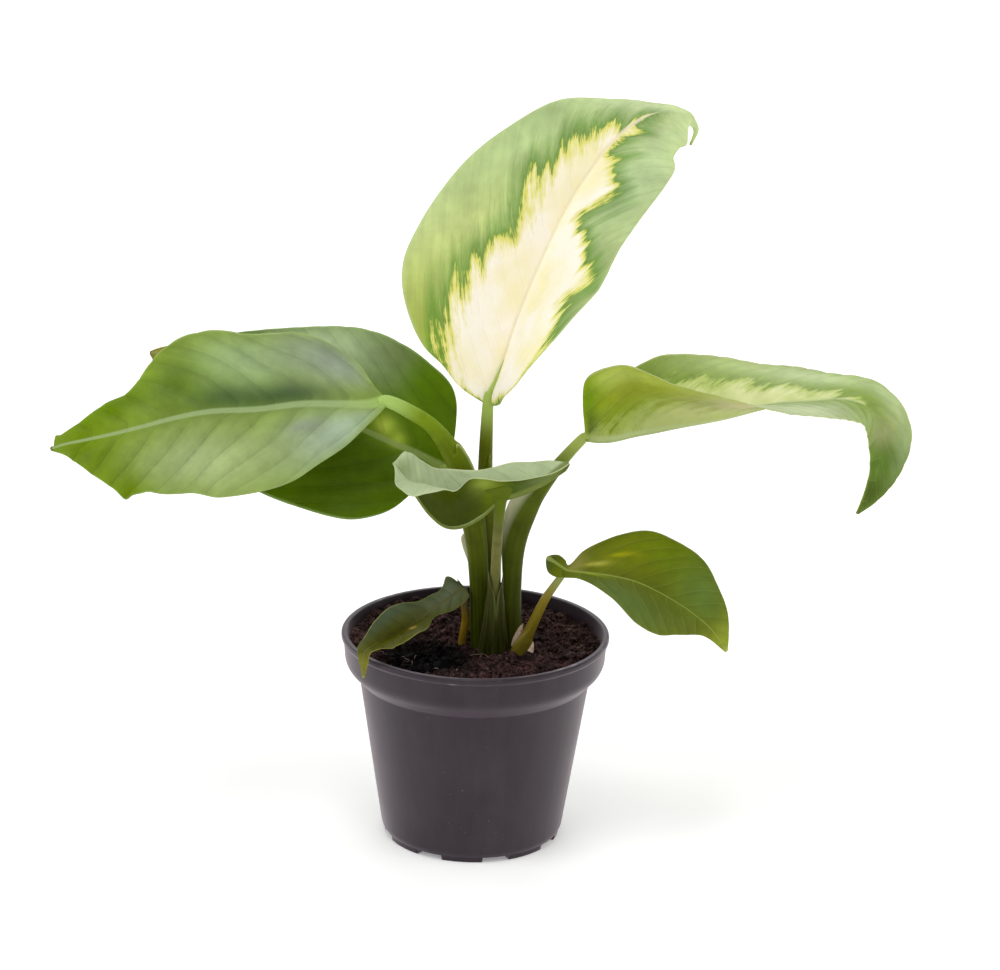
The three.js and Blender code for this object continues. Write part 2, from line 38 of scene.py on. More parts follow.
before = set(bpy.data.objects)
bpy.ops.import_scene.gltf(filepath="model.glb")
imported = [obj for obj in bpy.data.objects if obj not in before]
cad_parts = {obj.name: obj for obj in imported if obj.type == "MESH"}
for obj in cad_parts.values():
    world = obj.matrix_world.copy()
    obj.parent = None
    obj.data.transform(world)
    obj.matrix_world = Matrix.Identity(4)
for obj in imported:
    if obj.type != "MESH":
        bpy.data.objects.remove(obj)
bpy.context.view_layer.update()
MM = 0.001

# Pot, as the solids have it, in millimetres
FOOT_HEIGHT = 1.8
FLOOR_THICKNESS = 1.6
WALL_THICKNESS = 1.3
PAD_RADIUS = 9.0
FOOT_INNER_RADIUS = 26.6
FOOT_OUTER_RADIUS = 29.6
FOOT_COUNT = 8
FOOT_GAP_ANGLE = 18.0
FOOT_TURN = 17.0
FOOT_EDGE_ANGLE = 0.15
WALL_FOOT = (30.7, 3.2)
WALL_TOP = (38.8, 56.0)
BAND_FOOT = (43.6, 61.0)
LIP_HEIGHT = 1.6
LIP_OVERHANG = 0.8
DRAIN_RADIUS = 3.0
DRAIN_RING_RADIUS = 18.0
DRAIN_COUNT = 8
DRAIN_SIDES = 40
DRAIN_CUT_DEPTH = 16.0

# Soil, in millimetres
SOIL_GAP = 0.35
SOIL_TOP = 68.0
SOIL_LOW_TO_THE_RIGHT = 0.02
CRUMBS_REACH = 40.4
FIBRES_START_WITHIN = 34.0
FIBRES_REACH = 40.0
SOIL_SIDES = 260
SOIL_TOP_RINGS = 96

# The camera that the photograph's perspective gives
CAMERA_DISTANCE = 1200.0
CAMERA_PITCH = 18.54
CAMERA_ROLL = 1.31
CAMERA_AIM = (7.13, 0.0, 123.5)
CAMERA_LENS = 130.36
SENSOR_WIDTH = 36.0

# The leaves, in millimetres and degrees. A row is one place along the midrib: its point, then for
# the left and the right half the width, the lift, the curl and how far the margin is swept.
# The blade looks the way that facing gives from base to tip, and its midrib's direction is averaged
# over reach. Its margin waves by height, count times, from the phase of its half, and fully where the
# blade is as wide as fade. Bumps there each have a side, a place, a reach along the blade and a height.
# The cream list gives the share of each half that is cream, at even steps from the base to the place
# cream_end. The pale band on the midrib runs out at midrib_end and has midrib_width of its usual width.
# The route is the stalk's middle line, with its half widths and half depths in ovals. Where a sheath
# is as thick as the ovals, the core is the stalk inside it, and a join draws a stalk on into its blade.
# A sheath ends at top, a share of the stalk's length, and its gap looks towards the angle opens. Its
# wrap is how far round it reaches to each side at its foot and at its top, and the higher closed is,
# the later that changes. Its edges stand off by wing, more and more between the two shares in spreads,
# come back by the share closes at the top, and end in tips.
LEAVES = {
    "leaf_upright": {
        "facing": [(0, -0.95, 0.32), (0, -0.95, 0.32), (0, -0.9, 0.4), (0, -0.6, 0.8), (0, -0.5, 0.86)],
        "reach": 0.02,
        "wave": {"height": 0.8, "count": 3, "left": 0, "right": 0.4, "fade": 20},
        "rows": [
            ((2.5, -2, 152), (1.8, 0, 0, 0), (1.8, 40, 0, 0)),
            ((3.6, -1.2, 155), (14, 5, 0, 0), (12, 72, 0, 0)),
            ((6.5, 1, 162), (27, 4, -10, 0), (26, 76, -20, 0)),
            ((12, 6, 179.5), (41, 0, -15, 0), (38, 66, -25, 0)),
            ((17.5, 11, 193), (42, 0, -15, 0), (40, 58, -25, 0)),
            ((25, 16.5, 209.5), (38, 0, -15, 0), (37, 54, -25, 0)),
            ((31.5, 20.5, 221), (32, 0, -15, 0), (32, 44, -20, 0)),
            ((40.5, 26, 233), (24.5, -6, -10, 0), (27, 27, -15, 0)),
            ((50.5, 31, 241), (16, -30, 0, 0), (20.5, 4, -10, 0)),
            ((59, 34, 243), (9, -35, 0, 0), (16, 4, 0, 0)),
            ((65.5, 36, 241.8), (4, -20, 0, 0), (12.5, 0, 0, 0)),
            ((68.2, 36.8, 240), (1.1, 0, 0, 0), (3.4, 0, 0, 0)),
            ((69.4, 37, 236.4), (0.8, 0, 0, 0), (1, 0, 0, 0)),
            ((67.6, 36.5, 231.6), (0.4, 0, 0, 0), (0.4, 0, 0, 0)),
        ],
        "midrib_end": 0.6,
        "cream": [(0.5, 0.5), (0.95, 0.9), (1.05, 1.05), (0.85, 1.1), (0.74, 1.1), (0.62, 1.05),
                  (0.54, 0.84), (0.5, 0.73), (0.42, 0.84), (0.32, 0.62), (0.38, 0.34), (0.46, 0.46),
                  (0.38, 0.52), (0.34, 0.17), (0.2, 0.11), (0.04, 0.04), (-0.1, -0.1), (-0.2, -0.2),
                  (-0.3, -0.3), (-0.4, -0.4)],
        "cream_end": 0.76,
        "vein_spacing": 9.0, "vein_slant": 1.1, "quilt": 0.22,
        "route": [(6.7, 1.4, 52), (6.2, 1.4, 72), (4.4, 0.9, 92), (2.6, -0.6, 112), (2.1, -1.8, 130),
                  (2.3, -2, 151.2)],
        "ovals": [(2.7, 2.4), (2.8, 2.5), (2.7, 2.4), (2.6, 2.3), (2.4, 2.2), (2.1, 1.8)],
        "join": [((2.6, -2.5, 152.8), (1.8, 1.2)), ((3.7, -2.0, 155.6), (1.4, 0.8)),
                 ((5.5, -0.6, 160.0), (1.0, 0.6)), ((7.9, 1.4, 166.5), (0.4, 0.3))],
        "sheath": {"top": 0.53, "opens": 350, "wrap": (170, 128), "closed": 6, "wing": 0.4, "tips": 0.06},
    },
    "leaf_left_front": {
        "facing": [(0, -0.75, 0.65), (0, -0.75, 0.65)],
        "reach": 0.04,
        "wave": {"height": 1, "count": 3.5, "left": 0.1, "right": 0.6, "fade": 14},
        "rows": [
            ((-31, -10, 155), (1.8, -10, 0, 0), (1.8, 5, 0, 0)),
            ((-36, -11, 154), (6, -10, 0, 0), (11, 5, 0, 0)),
            ((-45, -12, 154), (15, -10, -15, 0), (18, 5, -15, 0)),
            ((-58, -13, 154), (23, -10, -20, 0), (25, 5, -15, 0)),
            ((-72, -15, 152.5), (27.5, -8, -20, 0), (26.5, 5, -15, 0)),
            ((-87, -17, 152), (29, -8, -20, 0), (27.5, 5, -15, 0)),
            ((-98, -18, 150), (26.5, -5, -15, 0), (24, 5, -10, 0)),
            ((-110, -20, 147), (25, 0, -10, 0), (13.5, 5, -10, 0)),
            ((-119, -22, 145), (21, 0, -10, 0), (10.5, 5, 0, 0)),
            ((-127.5, -24, 143.5), (12.5, 0, 0, 0), (6.5, 5, 0, 0)),
            ((-134, -26, 142.5), (5, 0, 0, 0), (3.5, 0, 0, 0)),
            ((-138, -28, 141.5), (0.5, 0, 0, 0), (0.5, 0, 0, 0)),
        ],
        "bumps": [(-1, 0.735, 0.018, 2.6), (-1, 0.66, 0.03, -1.2), (1, 0.93, 0.015, 1.2),
                  (1, 0.965, 0.01, -0.8)],
        "vein_spacing": 12.0, "vein_slant": 0.8, "quilt": 1.2,
        "route": [(1.5, -2.2, 52), (1.5, -2.5, 70), (1.1, -3.6, 86), (0.2, -5.6, 100), (-1.4, -7.6, 112),
                  (-3.9, -9.4, 124), (-7.5, -10, 135), (-15, -10, 146), (-24, -10, 152), (-29.8, -10, 154.6)],
        "ovals": [(2.5, 2.4), (2.6, 2.5), (2.7, 2.6), (2.9, 2.7), (3.2, 2.7), (3.8, 2.7), (3.6, 2.6),
                  (2.6, 2.4), (2.3, 2.1), (2, 1.5)],
        "sheath": {"top": 0.64, "opens": 352, "wrap": (168, 156), "closed": 5, "wing": 0.8, "tips": 0.03},
    },
    "leaf_left_back": {
        "facing": [(0.15, -0.8, 0.58), (0.15, -0.8, 0.58)],
        "reach": 0.04,
        "wave": {"height": 0.8, "count": 3, "left": 0.3, "right": 0.8, "fade": 16},
        "rows": [
            ((-11, 3, 127.3), (1.8, 0, 0, 0), (1.8, 0, 0, 0)),
            ((-14.3, 3.5, 129.2), (8, 0, 0, 0), (13, 5, 0, 0)),
            ((-19.6, 4, 132), (20, 0, 0, 0), (25.5, 5, -10, 0)),
            ((-28, 5, 135.3), (28.5, 0, -10, 0), (30.5, 5, -15, 0)),
            ((-36.4, 6, 138.6), (32.5, 0, -15, 0), (32.5, 5, -15, 0)),
            ((-48, 8, 143.6), (34.5, 0, -15, 0), (32, 5, -15, 0)),
            ((-60, 10, 148.3), (35, 0, -15, 0), (28, 5, -15, 0)),
            ((-73, 11, 153.9), (33, 0, -15, 0), (20.5, 5, -10, 0)),
            ((-86.6, 12, 158.8), (27, 0, -10, 0), (12, 5, 0, 0)),
            ((-98, 13, 161.7), (16, 0, 0, 0), (5, 0, 0, 0)),
            ((-106.6, 14, 162.2), (6, 0, 0, 0), (2, 0, 0, 0)),
            ((-110, 14, 162.2), (0.5, 0, 0, 0), (0.5, 0, 0, 0)),
        ],
        "vein_spacing": 12.0, "vein_slant": 0.8, "quilt": 0.9,
        "route": [(0.6, 5.4, 52), (0.7, 5.8, 72), (0.6, 6.4, 92), (-0.8, 6.2, 112), (-4.8, 4.5, 122.6),
                  (-10.4, 3.1, 126.9)],
        "ovals": [(2.5, 2.4), (2.6, 2.5), (2.4, 2.3), (2.2, 2.1), (2, 2), (1.8, 1.5)],
        "sheath": {"top": 0.44, "opens": 222, "spreads": (0.7, 1.0), "wrap": (160, 120), "closed": 2,
                   "wing": 3.4, "tips": 0.05},
    },
    "leaf_right": {
        "facing": [(0, 0, 1), (0, 0, 1), (0, 0, 1), (0, 0, 1), (0.1, -0.1, 1), (0.5, -0.5, 0.7),
                   (0.6, -0.75, 0.3), (0.5, -0.85, 0.1)],
        "reach": 0.12,
        "wave": {"height": 0.6, "count": 4, "left": 0.2, "right": 0.5, "fade": 14},
        "rows": [
            ((34.5, -5, 142.5), (1.6, 20, 0, 0), (2, 74, 0, 0)),
            ((36, -5.3, 142.4), (9, 26, 0, 0), (13, 78, -10, -2)),
            ((39, -5.6, 142.3), (16, 30, -10, 0), (21, 79, -15, -2.5)),
            ((44, -6, 142.8), (21, 33, -15, 0), (25, 79, -20, -1.5)),
            ((52, -6, 144.8), (25, 35, -20, 0), (27, 74, -30, 0)),
            ((65, -6, 147.7), (28, 40, -20, 0), (28, 48, -30, 0)),
            ((80, -5, 150.5), (28, 32, -20, 0), (28, 29, -20, 0)),
            ((96.5, -3, 154.4), (27, 12, -15, 0), (26, 11, -15, 0)),
            ((109, -2, 155.4), (24, 7, -10, 0), (22, 8, -15, 0)),
            ((119, -1, 156), (21, -2, -10, 0), (17, 5, -10, 0)),
            ((127, -0.5, 153.5), (18, -4, -10, 0), (12, 5, 0, 0)),
            ((131, -1.5, 147.5), (17, -5, -10, 0), (8, 5, 0, 0)),
            ((132, -3, 140.5), (15, -5, -10, 0), (5.5, 5, 0, 0)),
            ((131, -5, 132.5), (11, -5, 0, 0), (3.5, 5, 0, 0)),
            ((128.3, -7, 124.5), (4.5, 0, 0, 0), (2.2, 0, 0, 0)),
            ((125, -8, 119), (0.5, 0, 0, 0), (0.5, 0, 0, 0)),
        ],
        "midrib_end": 0.6,
        "cream": [(0.3, 0.1), (0.3, 0.15), (0.35, 0.2), (0.4, 0.25), (0.5, 0.3), (0.55, 0.4), (0.55, 0.3),
                  (0.45, 0.1), (0.3, 0), (0.15, -0.1), (0.02, -0.2), (-0.2, -0.3), (-0.4, -0.4)],
        "cream_end": 0.8,
        "vein_spacing": 7.5, "vein_slant": 0.9, "quilt": 0.6,
        "route": [(12.6, -3.6, 52), (12.5, -3.4, 70), (11.9, -2.4, 88), (12.4, -2, 104), (17.3, -2.6, 118.6),
                  (27, -4, 133.2), (33.2, -5, 141)],
        "ovals": [(2.6, 2.4), (2.7, 2.5), (2.7, 2.4), (3.4, 2.4), (3.4, 2.3), (2.1, 2), (1.7, 1.5)],
        "sheath": {"top": 0.64, "opens": 224, "spreads": (0.55, 0.9), "closes": 0.75,
                   "wrap": (160, 120), "closed": 3, "wing": 2.8, "tips": 0.02},
    },
    "leaf_centre": {
        "facing": [(0, 0, 1), (0, 0, 1)],
        "reach": 0.5,
        "wave": {"height": 0.5, "count": 3, "left": 0, "right": 0.5, "fade": 10},
        "rows": [
            ((29.6, -19, 137.7), (0.5, 30, 0, 0), (0.5, 45, 0, 0)),
            ((25.4, -20, 134.8), (2, 30, 0, 0), (5, 50, 0, 0)),
            ((20.2, -21, 131.5), (4.5, 50, -20, 0), (8, 50, 0, 0)),
            ((13.7, -22, 128.6), (6.5, 60, -30, 0), (10.5, 50, -10, 0)),
            ((7.2, -22, 125.7), (8.5, 65, -40, 0), (11.5, 55, -10, 0)),
            ((1.5, -23, 120.3), (15, 75, -60, 0), (15.5, 62, -10, 0)),
            ((-4.4, -24, 117.1), (20, 74, -60, 0), (18.5, 63, -10, 0)),
            ((-10.3, -25, 117.3), (20.8, 57, -80, 0), (19, 62, -10, 0)),
            ((-15.6, -26, 122), (19.5, 43, -90, 0), (15.5, 58, 0, 0)),
            ((-20.2, -27, 129), (15, 18, -110, 0), (12, 50, 0, 0)),
            ((-25, -28, 136.6), (8, -28, -40, 0), (7.2, 45, 0, 0)),
            ((-27.6, -28, 139.4), (0.5, 0, 0, 0), (0.5, 0, 0, 0)),
        ],
        "bumps": [(-1, 0.945, 0.022, 2.2), (-1, 0.885, 0.025, -1.8), (1, 0.93, 0.02, 1.2)],
        "vein_spacing": 6.0, "vein_slant": 0.7, "quilt": 0.15,
        "route": [(6.3, -8.5, 52), (6.2, -8.6, 68), (6.3, -10.4, 81), (6.4, -14.6, 102), (6.9, -19.5, 116),
                  (7.7, -21.5, 123.4)],
        "join": [((7.3, -21.8, 125.0), (2.1, 1.5)), ((7.5, -22.3, 127.3), (3.0, 0.8)),
                 ((7.3, -23.0, 129.0), (4.0, 0.35)), ((6.9, -23.65, 130.6), (4.8, 0.15))],
        "ovals": [(3.6, 2.6), (4.6, 3), (3.2, 2.6), (1.8, 1.7), (1.5, 1.5), (1.2, 1.2)],
        "core": [(2.2, 1.9), (2.1, 1.8), (1.9, 1.7), (1.7, 1.6), (1.7, 1.5), (2.6, 1.6)],
        "sheath": {"top": 0.35, "opens": 82, "wrap": (181, 116), "closed": 16, "wing": 0.2, "tips": 0.08},
    },
    "leaf_low_right": {
        "facing": [(0.1, -0.7, 0.7), (0.1, -0.7, 0.7), (0.3, -0.7, 0.65)],
        "reach": 0.05,
        "wave": {"height": 0.5, "count": 3, "left": 0, "right": 0.5, "fade": 10},
        "rows": [
            ((23, -15.4, 103.9), (0.5, 10, 0, 0), (0.5, 10, 0, 0)),
            ((24.2, -15.6, 103.2), (2, 10, 0, 0), (3, 10, 0, 0)),
            ((25.8, -15.8, 102.2), (3, 10, 0, 0), (5, 15, 0, 0)),
            ((27.8, -16, 100.9), (2.8, 10, 0, 0), (5, 15, 0, 0)),
            ((30, -16.2, 99.7), (2.2, 5, 0, 0), (3.2, 15, 0, 0)),
            ((34, -16.6, 99.3), (7.5, 0, 0, 0), (3, 24, 0, 0)),
            ((39, -17, 99), (11.5, 0, 0, 0), (5.5, 25, 0, 0)),
            ((45, -17.5, 98.4), (16, 0, -10, 0), (10.5, 24, -10, 0)),
            ((52, -18, 97), (20, 0, -10, 0), (16, 22, -10, 0)),
            ((59, -19, 94.3), (20, 0, -15, 0), (18, 20, -15, 0)),
            ((66, -20, 90.7), (19, 0, -15, 0), (16.5, 18, -15, 0)),
            ((71.5, -21, 87.3), (15.5, 0, -10, 0), (11, 15, -10, 0)),
            ((77.5, -22, 82.5), (9.5, 0, 0, 0), (4, 5, 0, 0)),
            ((83, -24, 75.5), (0.5, 0, 0, 0), (0.5, 0, 0, 0)),
        ],
        "midrib_width": 0.5,
        "vein_spacing": 6.0, "vein_slant": 0.7, "quilt": 0.2,
        "route": [(14.2, -10.4, 52), (14.5, -10.4, 67), (17.9, -11.2, 76), (22.4, -13.2, 87.4),
                  (25.4, -14.4, 93), (28.8, -15.6, 98.2)],
        "join": [((29.3, -16.1, 99.5), (1.1, 0.8))],
        "ovals": [(2.6, 2.3), (2.7, 2.4), (1.9, 1.9), (1.5, 1.4), (1.3, 1.3), (1.2, 1.1)],
        "sheath": {"top": 0.42, "opens": 200, "wrap": (150, 110), "closed": 3, "wing": 0.5, "tips": 0.08},
    },
    "leaf_low_left": {
        "facing": [(0, -0.4, 1), (0, -0.3, 1), (0, -0.2, 1), (-0.2, -0.3, 1), (-0.7, -0.6, 0.6)],
        "reach": 0.25,
        "wave": {"height": 0.5, "count": 3, "left": 0, "right": 0.5, "fade": 6},
        "rows": [
            ((-3.6, -5, 88.6), (1, 0, 0, 0), (1, 20, 0, 0)),
            ((-5, -5.6, 88.4), (4, -20, 0, 0), (5, 45, 0, 0)),
            ((-9.7, -8, 85.6), (4.4, -25, 0, 0), (4.6, 45, 0, 0)),
            ((-15.5, -11, 81.8), (3, 0, -20, 0), (5, 40, -10, 0)),
            ((-20.5, -14, 79), (8.5, 15, -20, 0), (8, 52, -10, 0)),
            ((-25.5, -18, 77), (9.5, 22, -20, 0), (9, 60, -10, 0)),
            ((-30, -22, 76), (8, 15, -20, 0), (7, 56, -10, 0)),
            ((-33.4, -26.8, 75.8), (5.5, 5, 0, 0), (4, 50, 0, 0)),
            ((-35.8, -31, 75), (2.8, 10, 0, 0), (3, 20, 0, 0)),
            ((-36.4, -32, 71.2), (1.9, 0, 0, 0), (1.4, 0, 0, 0)),
            ((-36.2, -31.8, 66.4), (0.5, 0, 0, 0), (0.5, 0, 0, 0)),
        ],
        "bumps": [(1, 0.045, 0.02, 1.0), (1, 0.085, 0.02, -1.6), (1, 0.14, 0.025, 1.2), (1, 0.21, 0.03, -0.8),
                  (-1, 0.66, 0.02, 0.8), (-1, 0.71, 0.02, -0.9)],
        "midrib_width": 0.5,
        "vein_spacing": 5.0, "vein_slant": 0.7, "quilt": 0.2,
        "route": [(-4.6, -1.4, 52), (-4.4, -1.4, 67), (-3.5, -2.4, 76), (-3.9, -4, 82), (-3.7, -4.5, 86.5)],
        "ovals": [(1.4, 1.3), (1.4, 1.3), (1.2, 1.1), (1.1, 1), (0.9, 0.9)],
        "sheath": None,
    },
}

# How a blade is built: its thickness, the rib below and the crest above its midrib, how sharply it
# may fold there, how its lateral veins run and how long the streaks along them are
MIDRIB_THICKNESS = 0.6
MARGIN_THICKNESS = 0.24
TIP_THICKNESS = 0.18
RIB_DEPTH = 1.1
RIB_WIDTH = 1.3
CREST_HEIGHT = 0.16
CREST_WIDTH = 0.7
SHARPEST_FOLD = 0.4
VEIN_BEND = 0.02
VEIN_STAGGER = 0.22
DENSER_AT_MIDRIB = 1.35
STREAK_LENGTH = 0.032
# Half the width of the pale band on the midrib at places from base to tip, and how far it runs out
MIDRIB_BAND = ((0, 2.4), (0.14, 1.4), (1, 0.35))
MIDRIB_BAND_FADE = 0.08

# Dead scales at the foot of the small right leaf's stalk: centre line, then half width and half depth
BRACTS = {
    "dry_bract": ([(13.6, -9.2, 69.6), (14.2, -9.0, 72.8), (15.0, -8.8, 75.6), (15.8, -8.4, 77.8)],
                  [(1.7, 0.2), (1.5, 0.2), (0.9, 0.15), (0.15, 0.08)]),
    "dry_scale": ([(18.3, -12.6, 69.4), (18.9, -12.0, 70.9), (19.3, -11.3, 72.6)],
                  [(1.3, 0.2), (0.9, 0.15), (0.15, 0.08)]),
}

# The hollow pressed into the soil beside the stalks. The peat round it is painted almost black: painted
# shadow of the low left leaf.
HOLLOW_PLACE = (-15.5, -15.5)
HOLLOW_REACH = 17.0
HOLLOW_DEPTH = 3.0

# How stalks and sheaths are built, and between which distances from its blade a stalk's colour changes
STALK_SIDES = 32
STALK_RINGS = 110
BLADE_COLOUR_REACH = (1.0, 14.0)
SHEATH_RINGS = 80
SHEATH_COLUMNS = 41
SHEATH_THICKNESS = 0.35
SHEATH_CLEARANCE = 0.12

# The studio's floor, and its lamps: place and aim in metres, size and power
FLOOR_SIDES = 96
LAMPS = {
    "key_left": ((-1.0, -0.3, 0.6), (0, 0, 0.12), 0.6, 3.0),
    "fill_right": ((1.05, -0.15, 0.5), (0, 0, 0.12), 0.7, 2.6),
    "edge_left": ((-0.9, 0.6, 0.2), (0, 0, 0.12), 0.6, 2.2),
    "edge_right": ((0.95, 0.6, 0.2), (0, 0, 0.12), 0.6, 1.8),
    "top_light": ((-0.1, -0.45, 1.3), (0, 0, 0.12), 0.45, 4.2),
    "ground_light": ((0.0, 1.7, 1.3), (0.0, 1.5, 0.0), 1.4, 12.0),
}

# Colours as sRGB hex. A patch is a soft change of colour on a face: its colour, where it lies from base
# to tip and from the left margin (-1) over the midrib (0) to the right one (1), and its reach each way.
# The patches are partly the leaves' own mottling and partly painted light: the pale grey-green ones
# are painted sheen, the lamps' reflection in the wax.
LEAF_COLOURS = {
    "leaf_upright": {
        "above": "c2d296", "below": "b3cb94",
        "patches_above": [
            ("d2de90", 0.3, -0.62, 0.14, 0.25), ("afc48b", 0.5, -0.85, 0.15, 0.3),
            ("b9ce99", 0.5, 0.7, 0.2, 0.4), ("a1b376", 0.28, 0.84, 0.15, 0.4),
            ("a4af4a", 0.15, -0.85, 0.12, 0.3)],
        "deep": "5f8c30", "deepens": 0.85, "cream": "fff7e8", "cream_spots": "f7ecb6", "halo": "e0dc70",
        "midrib": "efe4c0", "margin": "c4d69a", "end": "9aa860", "cream_above": 1.0, "cream_below": 0.7,
        "vein": "d3dca0", "vein_shows": 0.12, "pleat_shade": 0.05, "midrib_foot": "a0b458"},
    "leaf_left_front": {
        "above": "829a3a", "below": "86a45c",
        "patches_above": [
            ("45612a", 0.42, 0.18, 0.1, 0.2), ("36501b", 0.3, 0.15, 0.1, 0.18),
            # The pale grey-green patches are painted sheen, the lamps' reflection in the wax.
            ("b0c3a9", 0.2, -0.6, 0.12, 0.4), ("a6b67d", 0.5, -0.6, 0.2, 0.4),
            ("9cb37b", 0.39, 0.62, 0.1, 0.3), ("93a08a", 0.2, 0.7, 0.12, 0.4),
            ("97a488", 0.27, -0.35, 0.04, 0.1), ("6e8803", 0.84, 0.0, 0.17, 2.0),
            ("658303", 0.7, 0.75, 0.12, 0.3), ("657d03", 0.72, -0.95, 0.05, 0.3),
            ("658029", 0.53, 0.45, 0.07, 0.3)],
        "midrib": "a3b880", "margin": "a8bd74", "end": "5a4a20",
        "vein": "2f4410", "vein_shows": 0.03, "pleat_shade": 0.08, "midrib_foot": "a9c66a"},
    "leaf_left_back": {
        "above": "567203", "below": "6f8e4c",
        "patches_above": [
            # The pale grey-green patch at the top is painted sheen, the lamps' reflection in the wax.
            ("b1c399", 0.53, 0.75, 0.16, 0.3), ("707d57", 0.38, 0.9, 0.08, 0.3),
            ("5b7a03", 0.24, 0.7, 0.12, 0.4), ("4b6303", 0.35, -0.6, 0.25, 0.5),
            ("abbb47", 0.33, 0.14, 0.035, 0.1), ("98ad38", 0.27, 0.05, 0.03, 0.1),
            ("9c8a40", 0.9, 0.0, 0.1, 1.0)],
        "midrib": "8c9c58", "margin": "9ab46c", "end": "5c4a2c",
        "vein": "2c400a", "vein_shows": 0.08, "pleat_shade": 0.1, "midrib_foot": "8ca050"},
    "leaf_right": {
        "above": "859e41", "below": "94a006",
        "patches_above": [
            ("778f24", 0.33, -0.66, 0.1, 0.4), ("aaba77", 0.43, -0.84, 0.12, 0.3),
            ("c6d69f", 0.55, -0.7, 0.1, 0.3), ("bdc99d", 0.5, 0.8, 0.14, 0.6),
            ("bdd196", 0.71, -0.81, 0.08, 0.3), ("979f66", 0.77, 0.0, 0.06, 1.0),
            ("42560c", 0.92, 0.0, 0.1, 1.5), ("9db078", 0.81, -0.75, 0.05, 0.3),
            ("54701f", 0.84, 0.2, 0.05, 1.2)],
        "patches_below": [
            ("515f03", 0.1, 0.3, 0.05, 0.5), ("879703", 0.24, 0.25, 0.08, 0.2),
            ("bccb62", 0.25, 0.85, 0.1, 0.2), ("95a02c", 0.3, 0.56, 0.06, 0.2),
            ("aeb054", 0.36, 0.3, 0.05, 0.3), ("c9c08c", 0.42, 0.4, 0.05, 0.4),
            ("7a9c06", 0.12, 0.75, 0.07, 0.3)],
        "deep": "7f9a44", "deepens": 0.4, "cream": "e9ebb4", "cream_spots": "b9c872", "halo": "c4d27c",
        "midrib": "b7c68c", "margin": "c9d29c", "end": "6c6a30", "cream_above": 0.85, "cream_below": 0.25,
        "vein": "cbd79c", "vein_shows": 0.1, "pleat_shade": 0.08, "midrib_foot": "a4b45c"},
    "leaf_centre": {
        # Its dark underside is its own olive, deepened by painted shade under the curled blade.
        "above": "b4c29a", "below": "3e4a03",
        "patches_above": [
            ("a2af88", 0.35, 0.3, 0.1, 0.3), ("95a374", 0.91, 0.27, 0.06, 0.5)],
        "patches_below": [
            ("667603", 0.38, -0.5, 0.08, 0.6), ("405703", 0.3, 0.0, 0.06, 1.0),
            ("74864c", 0.12, -0.5, 0.12, 0.8), ("8a9a3a", 0.45, -0.85, 0.08, 0.25)],
        "midrib": "7c8a40", "margin": "d6dfae", "end": "a9b670",
        "vein": "5c6a2a", "vein_shows": 0.12, "pleat_shade": 0.05, "midrib_foot": "5c6c14"},
    "leaf_low_right": {
        "above": "5e6706", "below": "6c7f3c",
        "patches_above": [
            ("46561a", 0.08, 0.0, 0.1, 1.5), ("8e8a44", 0.35, -0.5, 0.06, 0.5),
            ("6e7603", 0.54, -0.46, 0.1, 0.4), ("697a03", 0.7, -0.7, 0.12, 0.4),
            ("5c6f32", 0.6, 0.7, 0.2, 0.5), ("61782e", 0.83, -0.5, 0.1, 0.6),
            ("8e9a2b", 0.97, 0.0, 0.04, 2.0), ("b2ae46", 0.46, -0.32, 0.05, 0.07),
            ("949604", 0.55, -0.5, 0.05, 0.05), ("8b9c03", 0.45, 0.12, 0.06, 0.05)],
        "midrib": "93a04a", "margin": "7f8c3c", "end": "a9b04c",
        "vein": "a3ac5a", "vein_shows": 0.16, "pleat_shade": 0.1, "midrib_foot": "9aa560"},
    "leaf_low_left": {
        "above": "54560f", "below": "7b7b03",
        "patches_above": [
            ("6a7458", 0.18, 0.3, 0.15, 1.2), ("4e5a44", 0.5, 0.85, 0.28, 0.4),
            ("4a4c06", 0.52, -0.3, 0.2, 0.6), ("be9b52", 0.44, -0.4, 0.02, 0.12),
            ("7c7921", 0.92, 0.0, 0.08, 2.0)],
        "midrib": "6a6840", "margin": "a9a85a", "end": "a0984a",
        "vein": "33330c", "vein_shows": 0.14, "pleat_shade": 0.12, "midrib_foot": "6a6840"},
}
# The stalks' colours in the middle, at the foot and at the top
STALK_COLOURS = {
    "leaf_upright": ("5c6410", "303206", "6f8010"),
    "leaf_left_front": ("525a0c", "303406", "809a1c"),
    "leaf_left_back": ("5c6018", "363a08", "72842a"),
    "leaf_right": ("4e590a", "363a08", "6a7b20"),
    "leaf_centre": ("74743e", "24240a", "727c36"),
    "leaf_low_right": ("7a6c1c", "524a10", "98832f"),
    "leaf_low_left": ("9a7a1c", "6c5814", "a0802c"),
}
# The sheaths' free edges: their colour, how strong it gets and from where across the sheath it begins,
# then the share of the stalk's length at which the foot's colour has gone
SHEATH_EDGES = {
    "leaf_upright": ("8c9450", 0.5, 0.75, 0.42),
    "leaf_left_front": ("c4c890", 0.7, 0.85, 0.42),
    "leaf_left_back": ("d2ccac", 0.9, 0.6, 0.42),
    "leaf_right": ("ece6cc", 0.9, 0.55, 0.42),
    "leaf_centre": ("8c9a58", 0.4, 0.9, 0.8),
    "leaf_low_right": ("a89a60", 0.4, 0.7, 0.42),
}


class PotSettings(bpy.types.PropertyGroup):
    """Sizes and colour of the nursery pot."""
    lip_radius: bpy.props.FloatProperty(
        name="Lip radius", description="Outer radius of the rolled lip", default=45.0 * MM,
        unit="LENGTH", precision=4)
    height: bpy.props.FloatProperty(
        name="Height", description="Height of the pot from feet to lip", default=71.6 * MM,
        unit="LENGTH", precision=4)
    sides: bpy.props.IntProperty(
        name="Sides", description="Steps round the pot's wall", default=240, min=48)
    colour: bpy.props.StringProperty(
        name="Colour", description="Colour of the plastic, as sRGB hex", default="2d222a")


